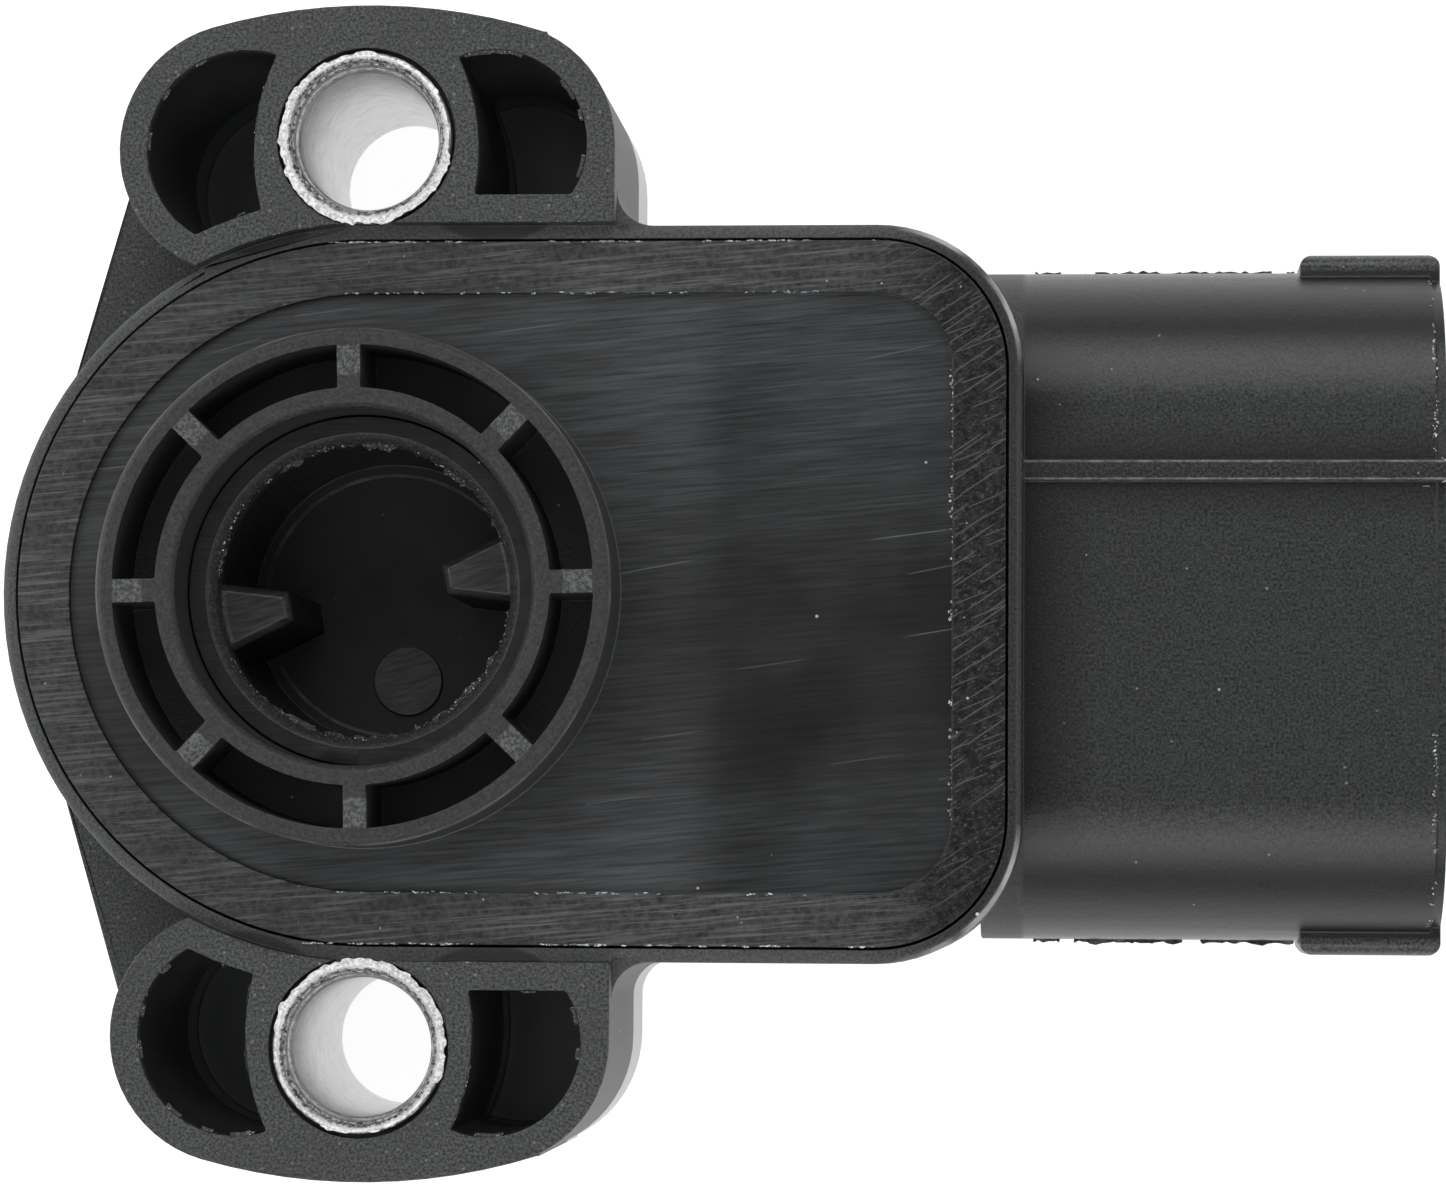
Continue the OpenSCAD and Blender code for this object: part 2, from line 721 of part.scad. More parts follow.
// Torsion spring: a wire swept along a tangent leg, the coil and a second leg
module return_spring() {
    sweep = coil_turns * 360 + fixed_leg_at - moving_leg_at;
    n = ceil(sweep / 360 * coil_steps);
    function coil_point(i) = concat(turned(coil_r, fixed_leg_at - sweep * i / n),
        [coil_top_z + (coil_bottom_z - coil_top_z) * i / n]);
    function leg_end(from, a, d) = from + d * [-sin(a), cos(a), 0];
    coil = [for (i = [0 : n]) coil_point(i)];
    route = concat([leg_end(coil[0], fixed_leg_at, fixed_leg)], coil,
        [leg_end(coil[n], moving_leg_at, -moving_leg)]);
    last = len(route) - 1;
    sides = 8;
    function heading(i) = let (d = route[min(i + 1, last)] - route[max(i - 1, 0)]) d / norm(d);
    function ring(i) =
        let (t = heading(i), across = cross(t, [0, 0, 1]), u = across / norm(across), v = cross(u, t))
        [for (k = [0 : sides - 1])
            route[i] + wire_r * (cos(360 * k / sides) * u + sin(360 * k / sides) * v)];
    points = [for (i = [0 : last]) each ring(i)];
    faces = concat(
        [[for (k = [0 : sides - 1]) k]],
        [for (i = [0 : last - 1], k = [0 : sides - 1])
            [sides * i + k, sides * (i + 1) + k,
             sides * (i + 1) + (k + 1) % sides, sides * i + (k + 1) % sides]],
        [[for (k = [sides - 1 : -1 : 0]) sides * last + k]]);
    color("#aeb2b6") polyhedron(points, faces, convexity = 8);
}

module thrust_washer() color("#d8d2c0") slab(boss_z, boss_z + thrust_t) difference() {
    circle(boss_r - thrust_play[1]);
    circle(stub_r + thrust_play[0]);
}

module track(r) {
    difference() {
        circle(r + track_w / 2);
        circle(r - track_w / 2);
    }
}

// Board with its raised tracks, held by the stakes and notched round the ribs
module resistor_board() color("#2f6b4a") {
    slab(board_z, board_top_z) difference() {
        d_outline(cavity_r - board_play, cavity_reach - board_play, cavity_corner_r - board_play);
        circle(boss_r + board_play);
        for (at = stakes) translate(at) circle(stake_r + stake_fit);
        for (angle = stop_angles) stop_rib(angle, notch_play);
        spring_rib(notch_play);
        for (place = [-1, 0, 1]) translate([tail_x, place * pitch])
            square([blade_t + tail_play, tail_w + tail_play], center = true);
    }
    slab(board_top_z - eps, board_top_z + track_t) {
        difference() {
            track(track_r[1]);
            wedge(-track_gap_half, track_gap_half, body_reach);
        }
        both_sides() translate([lead_from[0], lead_from[1] - lead_w / 2])
            square([solder_x - lead_from[0] + eps, lead_w]);
        both_sides() translate([solder_x, pitch - solder_w / 2])
            square([solder_length, lead_from[1] + lead_w / 2 - pitch + solder_w / 2]);
        track(track_r[0]);
        translate([track_r[0], -lead_w / 2]) square([solder_x - track_r[0] + eps, lead_w]);
        translate([solder_x, -solder_w / 2]) square([solder_length, solder_w]);
    }
}

// One terminal: blade in the socket, neck in the wall, strip, bend and tail
module terminal(place) {
    bend_x = tail_x + blade_t / 2 + bend_r;
    translate([0, place * pitch, 0]) {
        slab(shell_z - blade_t / 2, shell_z + blade_t / 2) polygon([
            [bend_x, -strip_w / 2], [neck_x, -strip_w / 2], [neck_x, -blade_w / 2],
            [blade_tip_x - tip_bevel, -blade_w / 2], [blade_tip_x, -blade_w / 2 + tip_bevel],
            [blade_tip_x, blade_w / 2 - tip_bevel], [blade_tip_x - tip_bevel, blade_w / 2],
            [neck_x, blade_w / 2], [neck_x, strip_w / 2], [bend_x, strip_w / 2]
        ]);
        translate([bend_x, strip_w / 2, shell_z - blade_t / 2 - bend_r]) rotate([90, 0, 0])
            linear_extrude(strip_w) intersection() {
                difference() {
                    circle(bend_r + blade_t);
                    circle(bend_r);
                }
                translate([-bend_r - blade_t, 0]) square(bend_r + blade_t + eps);
            }
        translate([tail_x - blade_t / 2, -tail_w / 2, tail_z])
            cube([blade_t, tail_w, shell_z - blade_t / 2 - bend_r - tail_z + eps]);
    }
}

module terminal_supply() color("#c0a468") terminal(1);
module terminal_signal() color("#c0a468") terminal(0);
module terminal_ground() color("#c0a468") terminal(-1);

housing();
rear_cover();
upper_bushing();
lower_bushing();
rotor();
wiper();
wave_washer();
return_spring();
thrust_washer();
resistor_board();
terminal_supply();
terminal_signal();
terminal_ground();
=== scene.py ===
import json
import math
import random

import bmesh
import bpy
from mathutils import Euler, Matrix, Vector, noise


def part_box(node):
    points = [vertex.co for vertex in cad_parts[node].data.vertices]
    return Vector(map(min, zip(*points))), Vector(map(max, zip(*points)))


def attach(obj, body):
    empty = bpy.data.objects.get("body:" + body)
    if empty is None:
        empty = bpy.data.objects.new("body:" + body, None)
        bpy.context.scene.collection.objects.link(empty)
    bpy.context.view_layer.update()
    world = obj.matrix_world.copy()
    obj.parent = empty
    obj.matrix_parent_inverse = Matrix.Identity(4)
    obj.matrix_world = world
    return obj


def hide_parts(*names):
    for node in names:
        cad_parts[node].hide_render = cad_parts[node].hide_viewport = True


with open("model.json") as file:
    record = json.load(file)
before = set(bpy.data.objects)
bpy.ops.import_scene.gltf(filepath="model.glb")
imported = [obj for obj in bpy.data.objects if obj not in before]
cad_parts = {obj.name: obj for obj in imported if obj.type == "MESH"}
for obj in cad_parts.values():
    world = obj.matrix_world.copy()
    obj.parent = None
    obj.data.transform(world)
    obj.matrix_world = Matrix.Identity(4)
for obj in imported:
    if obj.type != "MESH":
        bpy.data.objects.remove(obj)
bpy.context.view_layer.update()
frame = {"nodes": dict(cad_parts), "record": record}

MM = 0.001
NODES = frame["nodes"]

# Corners of the solids' boxes
HOUSING_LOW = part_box("housing")[0]
COVER_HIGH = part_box("rear_cover")[1]
ROTOR_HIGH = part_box("rotor")[1]
BOARD_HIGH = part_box("resistor_board")[1]
BUSHING_LOW, BUSHING_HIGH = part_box("upper_bushing")

# The ears: screw axis, relief and boss round a bushing, sides and cored pockets
BOLT_Y = (BUSHING_LOW.y + BUSHING_HIGH.y) / 2
SEAT_R = 3.25 * MM
BOSS_R = 3.8 * MM
EAR_LEVEL = -0.1 * MM
EAR_SIDE_Y = 12.9 * MM
PARTING_LEVEL = -10.6 * MM
LOBE_POCKET, LOBE_POCKET_R = (-4.3 * MM, 15.6 * MM), 3.55 * MM
CORNER_POCKET, CORNER_POCKET_R = (4.5 * MM, 15.8 * MM), 3.35 * MM
POCKET_FLOOR = -13.1 * MM

# The body's rim round the cover, and the connector shell with its keying rib
RIM_LOW, RIM_HIGH = -1.1 * MM, -0.85 * MM
RIM_CORNER, RIM_CORNER_R = (18.0 * MM, 7.87 * MM), 5.1 * MM
BODY_END_X = 23.1 * MM
SHELL_MID = -9.1 * MM
SHELL_SIDE_Y = 12.1 * MM
SHELL_R = 5.3 * MM
SHELL_REAR_LEVEL = -3.6 * MM
TAB_X = 32.9 * MM
KEY_Y, KEY_HALF = 4.5 * MM, 0.35 * MM
MOUTH_X = 38.0 * MM

# The rear cover: welded border, sunk panel, and collar with its pockets
BORDER_LEVEL = -0.8 * MM
PANEL_LEVEL = -1.05 * MM
PANEL_END_X = 20.67 * MM
PANEL_SIDE_Y = 10.54 * MM
# Place across the sunk panel along which its painted reflection is darkest
PANEL_DARK_Y = -2.4 * MM
COLLAR_R = 9.0 * MM
COLLAR_POCKET_R = (7.36 * MM, 8.32 * MM)

# The rotor's socket: its edge, the lugs' tips, and the shallow ring and pad on its floor
SOCKET_R = 5.26 * MM
SOCKET_EDGE_LEVEL = -0.42 * MM
SOCKET_STEP_R, SOCKET_FLOOR = 4.8 * MM, -9.45 * MM
PAD, PAD_R = (0.5 * MM, -2.8 * MM), 1.26 * MM


# ---------------------------------------------------------------- finishes

class Finish:
    """A material whose pattern is worked out from Object coordinates."""

    def __init__(self, name, colour, roughness, metallic=0.0):
        self.material = bpy.data.materials.new(name)
        self.material.use_nodes = True
        self.tree = self.material.node_tree
        self.shader = self.tree.nodes["Principled BSDF"]
        self.shader.inputs["Base Color"].default_value = (*colour, 1)
        self.shader.inputs["Roughness"].default_value = roughness
        self.shader.inputs["Metallic"].default_value = metallic
        self.place = self.add("ShaderNodeTexCoord").outputs["Object"]
        self.axes = None
        self.bumps = None

    def add(self, kind, **settings):
        node = self.tree.nodes.new(kind)
        for setting, value in settings.items():
            setattr(node, setting, value)
        return node

    def feed(self, socket, value):
        if isinstance(value, bpy.types.NodeSocket):
            self.tree.links.new(value, socket)
        elif isinstance(value, tuple) and len(value) == 3 and socket.type == "RGBA":
            socket.default_value = (*value, 1)
        else:
            socket.default_value = value

    def calc(self, kind, a, b=0.0, clamp=False):
        node = self.add("ShaderNodeMath", operation=kind, use_clamp=clamp)
        self.feed(node.inputs[0], a)
        self.feed(node.inputs[1], b)
        return node.outputs[0]

    # Places and distances

    def axis(self, name):
        if not self.axes:
            self.axes = self.add("ShaderNodeSeparateXYZ")
            self.feed(self.axes.inputs[0], self.place)
        return self.axes.outputs[name]

    def side(self):
        """Distance from the rotor axis across the connector, on both sides."""
        return self.calc("ABSOLUTE", self.axis("Y"))

    def off(self, value, middle):
        """How far a value is from a middle one, on both sides."""
        return self.calc("ABSOLUTE", self.calc("SUBTRACT", value, middle))

    def far_from(self, x, y, mirrored=False):
        """Distance from a line along Z; mirrored counts both sides of the rotor axis."""
        across = self.side() if mirrored else self.axis("Y")
        dx = self.calc("SUBTRACT", self.axis("X"), x)
        dy = self.calc("SUBTRACT", across, y)
        return self.calc("SQRT", self.calc("ADD", self.calc("MULTIPLY", dx, dx),
                                           self.calc("MULTIPLY", dy, dy)))

    def spread(self, size, turn=0.0):
        """Coordinates in which one unit is size, along axes turned about Z."""
        node = self.add("ShaderNodeMapping", vector_type="TEXTURE")
        self.feed(node.inputs["Vector"], self.place)
        node.inputs["Rotation"].default_value = (0, 0, math.radians(turn))
        node.inputs["Scale"].default_value = size if isinstance(size, tuple) else (size,) * 3
        return node.outputs[0]

    # Masks, from 0 to 1

    def fade(self, value, start, end, low=0.0, high=1.0):
        node = self.add("ShaderNodeMapRange", clamp=True)
        for socket, given in zip(node.inputs, (value, start, end, low, high)):
            self.feed(socket, given)
        return node.outputs[0]

    def past(self, value, limit, soft):
        """1 beyond a limit, with a soft step after it."""
        return self.fade(value, limit, limit + soft)

    def within(self, value, limit, soft):
        """1 up to a limit, with a soft step after it."""
        return self.fade(value, limit, limit + soft, 1, 0)

    def band(self, value, start, full, end, gone):
        """1 from full to end, fading out to start on one side and to gone on the other."""
        return self.times(self.fade(value, start, full), self.fade(value, end, gone, 1, 0))

    def times(self, mask, *others):
        for other in others:
            mask = self.calc("MULTIPLY", mask, other)
        return mask

    def either(self, a, b):
        return self.calc("MAXIMUM", a, b)

    def without(self, mask):
        return self.calc("SUBTRACT", 1.0, mask)

    # Patterns

    def cloud(self, size, turn=0.0, detail=2.0, rough=0.5):
        node = self.add("ShaderNodeTexNoise")
        self.feed(node.inputs["Vector"], self.spread(size, turn))
        node.inputs["Scale"].default_value = 1
        node.inputs["Detail"].default_value = detail
        node.inputs["Roughness"].default_value = rough
        return node.outputs["Fac"]

    def dots(self, size, radius, share=1.0):
        """1 in scattered round dots: size between them, radius as a part of it."""
        node = self.add("ShaderNodeTexVoronoi")
        self.feed(node.inputs["Vector"], self.spread(size))
        node.inputs["Scale"].default_value = 1
        near = self.fade(node.outputs["Distance"], radius * 0.6, radius, 1, 0)
        pick = self.add("ShaderNodeSeparateColor")
        self.feed(pick.inputs[0], node.outputs["Color"])
        chosen = self.calc("LESS_THAN", pick.outputs[0], share)
        return self.times(near, chosen)

    def scratches(self, long, apart, width, turn, share=1.0, slant=0.0):
        """Straight fine marks, one in each cell of a scattered pattern, paler or fainter."""
        place = self.spread((long, apart, 1), turn)
        cell = self.add("ShaderNodeTexVoronoi", voronoi_dimensions="2D")
        self.feed(cell.inputs["Vector"], place)
        cell.inputs["Scale"].default_value = 1
        offset = self.add("ShaderNodeVectorMath", operation="SUBTRACT")
        self.feed(offset.inputs[0], place)
        self.feed(offset.inputs[1], cell.outputs["Position"])
        along = self.add("ShaderNodeSeparateXYZ")
        self.feed(along.inputs[0], offset.outputs[0])
        pick = self.add("ShaderNodeSeparateColor")
        self.feed(pick.inputs[0], cell.outputs["Color"])
        lean = self.calc("MULTIPLY", self.calc("SUBTRACT", pick.outputs[1], 0.5), slant)
        across = self.calc("SUBTRACT", along.outputs["Y"],
                           self.calc("MULTIPLY", along.outputs["X"], lean))
        half = width / apart / 2
        line = self.fade(self.calc("ABSOLUTE", across), half * 0.4, half, 1, 0)
        ends = self.fade(self.calc("ABSOLUTE", along.outputs["X"]), 0.25, 0.5, 1, 0)
        chosen = self.calc("LESS_THAN", pick.outputs[0], share)
        strength = self.fade(pick.outputs[2], 0, 1, 0.35, 1)
        return self.calc("MULTIPLY", self.times(line, ends), self.times(chosen, strength))

    def rings(self, distance, size, detail=2.0):
        """Turning marks: a pattern that depends on the distance from an axis alone."""
        node = self.add("ShaderNodeTexNoise", noise_dimensions="1D")
        self.feed(node.inputs["W"], self.calc("DIVIDE", distance, size))
        node.inputs["Scale"].default_value = 1
        node.inputs["Detail"].default_value = detail
        return node.outputs["Fac"]

    # What the shader is given

    def blend(self, share, a, b):
        """a where share is 0 and b where it is 1, for numbers and for colours."""
        colours = isinstance(a, tuple) or getattr(a, "type", "") == "RGBA"
        node = self.add("ShaderNodeMix", data_type="RGBA" if colours else "FLOAT")
        sockets = [s for s in node.inputs if s.enabled]
        self.feed(sockets[0], share)
        self.feed(sockets[1], a)
        self.feed(sockets[2], b)
        return [s for s in node.outputs if s.enabled][0]

    def colour(self, value):
        self.feed(self.shader.inputs["Base Color"], value)

    def rough(self, value):
        self.feed(self.shader.inputs["Roughness"], value)

    def raise_by(self, height, depth, strength=1.0):
        """Bump on top of the bumps so far; depth is the relief in metres."""
        node = self.add("ShaderNodeBump")
        node.inputs["Strength"].default_value = strength
        node.inputs["Distance"].default_value = depth
        self.feed(node.inputs["Height"], height)
        if self.bumps:
            self.feed(node.inputs["Normal"], self.bumps)
        self.bumps = node.outputs[0]
        self.feed(self.shader.inputs["Normal"], self.bumps)


def grey(level, warmth=0.0):
    return (level * (1 + warmth), level, level * (1 - warmth))


def pocket_mask(f):
    """The cored pockets of the ears, from just under their mouths to their floors."""
    lobe = f.within(f.far_from(*LOBE_POCKET, mirrored=True), LOBE_POCKET_R, 0.15 * MM)
    corner = f.within(f.far_from(*CORNER_POCKET, mirrored=True), CORNER_POCKET_R, 0.15 * MM)
    off_boss = f.past(f.far_from(0, BOLT_Y, mirrored=True), BOSS_R, 0.1 * MM)
    sunk = f.band(f.axis("Z"), POCKET_FLOOR - 0.5 * MM, POCKET_FLOOR - 0.4 * MM,
                  EAR_LEVEL - 0.6 * MM, EAR_LEVEL - 0.15 * MM)
    return f.times(f.either(lobe, corner), off_boss, sunk)


def rim_masks(f):
    """The rim round the cover, its end by the connector, where shade is painted, and thin lines on
    its corners there, where a highlight is painted.
    """
    rim = f.band(f.axis("Z"), RIM_LOW - 0.1 * MM, RIM_LOW, RIM_HIGH, RIM_HIGH + 0.05 * MM)
    end = f.times(rim, f.fade(f.axis("X"), 17 * MM, 21.5 * MM))
    off_corner = f.far_from(*RIM_CORNER, mirrored=True)
    rim_corner_highlight = f.times(f.past(off_corner, RIM_CORNER_R - 0.2 * MM, 0.06 * MM), rim,
                     f.fade(f.side(), 8 * MM, 9.5 * MM), f.fade(f.axis("X"), 18.6 * MM, 20 * MM))
    return rim, end, rim_corner_highlight


def shell_tone(f, grain, mottle, connector):
    """Fine grain, with painted shade on the shell's rounded sides, by the body and beside the rib.
    """
    tone = f.blend(f.fade(grain, 0.4, 0.62), grey(0.006, -0.05), grey(0.044, -0.05))
    tone = f.blend(f.fade(mottle, 0.45, 0.78, 0, 0.3), tone, grey(0.055, -0.04))
    # Painted shade on the rounded sides, next to the body's wall and beside the keying rib.
    by_sides = f.fade(f.side(), 8.6 * MM, 9.6 * MM, 0, 0.85)
    by_body = f.fade(f.axis("X"), BODY_END_X, BODY_END_X + 2.6 * MM, 0.9, 0)
    by_key = f.fade(f.off(f.axis("Y"), KEY_Y), KEY_HALF, 1.9 * MM, 0.7, 0)
    painted_shade = f.either(f.either(by_sides, by_body), by_key)
    return f.blend(f.times(painted_shade, connector), tone, grey(0.002))


def with_key(f, tone, grain, mottle, connector):
    """A tone with the keying rib added: grained on top, with a painted highlight along both edges.
    """
    off_key = f.off(f.axis("Y"), KEY_Y)
    key = f.times(f.within(off_key, KEY_HALF, 0.12 * MM), connector,
                  f.past(f.axis("Z"), SHELL_REAR_LEVEL - 0.1 * MM, 0.15 * MM))
    tone = f.blend(key, tone, f.blend(f.fade(grain, 0.42, 0.66), grey(0.006, -0.04), grey(0.05)))
    # Painted highlight along both edges of the rib.
    edge = f.times(f.within(f.off(off_key, KEY_HALF - 0.03 * MM), 0.02 * MM, 0.05 * MM), key)
    return f.blend(f.times(edge, f.fade(mottle, 0.38, 0.62, 0.15, 0.85)), tone, grey(0.2))


def housing_finish():
    """Glass-filled plastic: spark-eroded grain on the ears, finer on the shell."""
    f = Finish("glass_filled_plastic", grey(0.03), 0.5)
    grain = f.cloud(0.1 * MM, detail=4, rough=0.7)
    fine = f.cloud(0.045 * MM)
    mottle = f.cloud(0.34 * MM, detail=3, rough=0.6)
    patch = f.cloud(2.4 * MM, detail=3)
    ears = f.past(f.side(), EAR_SIDE_Y, 0.3 * MM)
    polished = f.times(f.within(f.axis("Z"), PARTING_LEVEL - 0.02 * MM, 0.04 * MM), ears)
    connector = f.past(f.axis("X"), BODY_END_X - 0.1 * MM, 0.2 * MM)
    rim, rim_end, rim_corner_highlight = rim_masks(f)

    tone = f.blend(f.fade(grain, 0.41, 0.6), grey(0.006, -0.05), grey(0.084, -0.05))
    tone = f.blend(f.times(f.dots(0.34 * MM, 0.2, 0.3), 0.6), tone, grey(0.2))
    tone = f.blend(f.fade(patch, 0.35, 0.7, 0, 0.3), tone, grey(0.02, -0.04))
    to_shell = f.fade(f.axis("X"), 11 * MM, 21 * MM)
    tabs = f.past(f.side(), SHELL_SIDE_Y - 0.15 * MM, 0.1 * MM)
    tone = f.blend(f.times(to_shell, f.without(tabs)), tone,
                   shell_tone(f, grain, mottle, connector))
    tone = f.blend(f.times(rim, f.without(rim_end)), tone,
                   f.blend(f.fade(grain, 0.38, 0.64), grey(0.02, -0.04), grey(0.085, -0.03)))
    # Painted shade: the rim's end by the connector darker.
    tone = f.blend(rim_end, tone,
                   f.blend(f.fade(grain, 0.4, 0.66), grey(0.003, -0.04), grey(0.03)))
    # Painted highlight on the rim's corners by the connector.
    tone = f.blend(f.times(rim_corner_highlight, f.fade(patch, 0.3, 0.5)), tone, grey(0.4))
    tone = with_key(f, tone, grain, mottle, connector)
    tone = f.blend(f.times(f.dots(0.9 * MM, 0.06, 0.5), 0.6), tone, grey(0.3))
    tone = f.blend(f.times(f.dots(2.6 * MM, 0.03, 0.6), 0.9), tone, grey(0.7))
    # Painted shade and light in the ear pockets: near black just under their mouths, painted paler
    # towards the floor where little light reaches.
    depth = f.fade(f.axis("Z"), POCKET_FLOOR + 0.1 * MM, -0.5 * MM, 1, 0)
    tone = f.blend(pocket_mask(f), tone,
                   f.blend(f.times(depth, depth), grey(0.014, -0.04), grey(0.45, -0.04)))
    f.colour(tone)

    dull = f.blend(connector, f.fade(grain, 0.3, 0.7, 0.4, 0.6), f.fade(grain, 0.3, 0.7, 0.27, 0.4))
    f.rough(f.blend(polished, f.blend(rim_end, dull, 0.3), 0.2))
    coarse = f.blend(f.times(connector, 0.5), grain, mottle)
    f.raise_by(f.blend(polished, coarse, 0.5), 0.028 * MM, 0.75)
    f.raise_by(f.blend(polished, fine, 0.5), 0.008 * MM, 0.6)
    parting = f.off(f.axis("Z"), PARTING_LEVEL)
    f.raise_by(f.times(ears, f.fade(parting, 0.0, 0.06 * MM)), 0.03 * MM)
    return f.material


def panel_tone(f, drag, patch):
    """The sunk panel, with a painted reflection paler to its long sides and to the round end, and
    drag lines.
    """
    long_drag = f.cloud((9 * MM, 0.7 * MM, 1 * MM), turn=6, detail=3)
    lone = f.scratches(3.2 * MM, 1.9 * MM, 0.06 * MM, 10, 0.3, 0.4)
    # Painted reflection: darkest along PANEL_DARK_Y and by the connector, paler to the long sides
    # and to the round end.
    pale = f.calc("ADD", f.fade(f.off(f.axis("Y"), PANEL_DARK_Y), 1.5 * MM, 9.5 * MM, 0, 0.85),
                  f.fade(f.axis("X"), 10.6 * MM, 13.0 * MM, 0.45, 0), clamp=True)
    pale = f.calc("ADD", pale, f.fade(patch, 0.35, 0.65, -0.12, 0.12), clamp=True)
    tone = f.blend(pale, grey(0.009, -0.06), grey(0.06, -0.06))
    tone = f.blend(f.fade(drag, 0.36, 0.64, 0.75, 0), tone, grey(0.002, -0.06))
    tone = f.blend(f.fade(long_drag, 0.4, 0.65, 0, 0.3), tone, grey(0.004, -0.06))
    return f.blend(f.times(lone, 0.6), tone, grey(0.15, -0.05))


def border_lines(f, drag, end):
    """Hatching over the border's end by the connector, drag lines along the rest."""
    hatching = f.either(f.scratches(2.2 * MM, 0.36 * MM, 0.055 * MM, 34, 0.7, 0.16),
                        f.scratches(1.4 * MM, 0.36 * MM, 0.045 * MM, 22, 0.4, 0.3))
    hatching = f.times(hatching, f.fade(f.axis("Y"), -7.5 * MM, -4.5 * MM, 0.3, 1))
    nicks = f.cloud((0.2 * MM, 0.09 * MM, 1 * MM), turn=30, detail=3, rough=0.7)
    hatching = f.either(hatching, f.fade(nicks, 0.6, 0.72, 0, 0.5))
    return f.blend(end, f.fade(drag, 0.49, 0.64, 0, 0.85), hatching)


def collar_tone(f, from_axis, grain, collar_top):
    """The collar, its ribs speckled, a painted highlight round its outer edge and its pockets dark.
    """
    rib_low, rib_high = COLLAR_POCKET_R
    tone = f.blend(f.fade(grain, 0.34, 0.7), grey(0.006, -0.04), grey(0.037, -0.03))
    ribs = f.band(from_axis, rib_low - 0.06 * MM, rib_low, rib_high, rib_high + 0.06 * MM)
    tone = f.blend(ribs, tone,
                   f.blend(f.fade(grain, 0.4, 0.62), grey(0.02, -0.04), grey(0.11, -0.03)))
    # Painted highlight: a patchy pale line round the collar's outer edge.
    collar_edge_highlight = f.times(f.past(from_axis, COLLAR_R - 0.09 * MM, 0.04 * MM),
                   f.fade(f.cloud(1.6 * MM, detail=3), 0.42, 0.6, 0.2, 1))
    tone = f.blend(f.times(collar_edge_highlight, 0.7), tone, grey(0.13))
    return f.blend(collar_top, grey(0.032, -0.04), tone)


def cover_finish():
    """Scuffed border, smoother sunk panel with drag lines, grained collar."""
    f = Finish("cover_plastic", grey(0.03), 0.5)
    from_axis = f.far_from(0, 0)
    collar = f.within(from_axis, COLLAR_R + 0.02 * MM, 0.04 * MM)
    collar_top = f.past(f.axis("Z"), COVER_HIGH.z - 0.35 * MM, 0.15 * MM)
    border = f.fade(f.axis("Z"), PANEL_LEVEL + 0.1 * MM, BORDER_LEVEL - 0.1 * MM)
    border = f.times(border, f.without(collar))
    end = f.fade(f.axis("X"), 17.0 * MM, 20.3 * MM)
    grain = f.cloud(0.11 * MM, detail=3, rough=0.65)
    drag = f.cloud((3.4 * MM, 0.12 * MM, 1 * MM), turn=5, detail=4, rough=0.7)
    pits = f.cloud(0.22 * MM, detail=4, rough=0.7)
    patch = f.cloud(4.5 * MM)
    lines = border_lines(f, drag, end)

    along = f.blend(f.fade(pits, 0.38, 0.66), grey(0.004, -0.04), grey(0.042, -0.04))
    # Painted shade: the border darker at its end by the connector.
    border_end_shade = f.blend(f.fade(pits, 0.42, 0.7), grey(0.002, -0.04), grey(0.02, -0.04))
    border_tone = f.blend(f.times(lines, 0.75), f.blend(end, along, border_end_shade), grey(0.13, -0.03))
    tone = f.blend(border, panel_tone(f, drag, patch), border_tone)
    tone = f.blend(collar, tone, collar_tone(f, from_axis, grain, collar_top))
    tone = f.blend(f.times(f.dots(1.3 * MM, 0.05, 0.35), 0.8), tone, grey(0.5))
    tone = f.blend(f.times(border, f.dots(0.6 * MM, 0.08, 0.3), 0.8), tone, grey(0.35))
    f.colour(tone)

    panel_gloss = f.calc("ADD", f.fade(patch, 0.3, 0.7, 0.27, 0.4),
                         f.fade(f.axis("X"), 11.4 * MM, 12.6 * MM, 0.1, 0))
    border_gloss = f.blend(end, f.fade(pits, 0.3, 0.7, 0.4, 0.62),
                           f.fade(pits, 0.3, 0.7, 0.24, 0.36))
    gloss = f.blend(border, panel_gloss, border_gloss)
    f.rough(f.blend(collar, gloss, f.blend(collar_top, 0.4, 0.52)))
    f.raise_by(f.times(f.either(border, collar), f.blend(collar, pits, grain)), 0.03 * MM, 0.8)
    f.raise_by(drag, 0.01 * MM, 0.6)
    f.raise_by(f.times(border, lines), 0.02 * MM, 0.8)
    return f.material


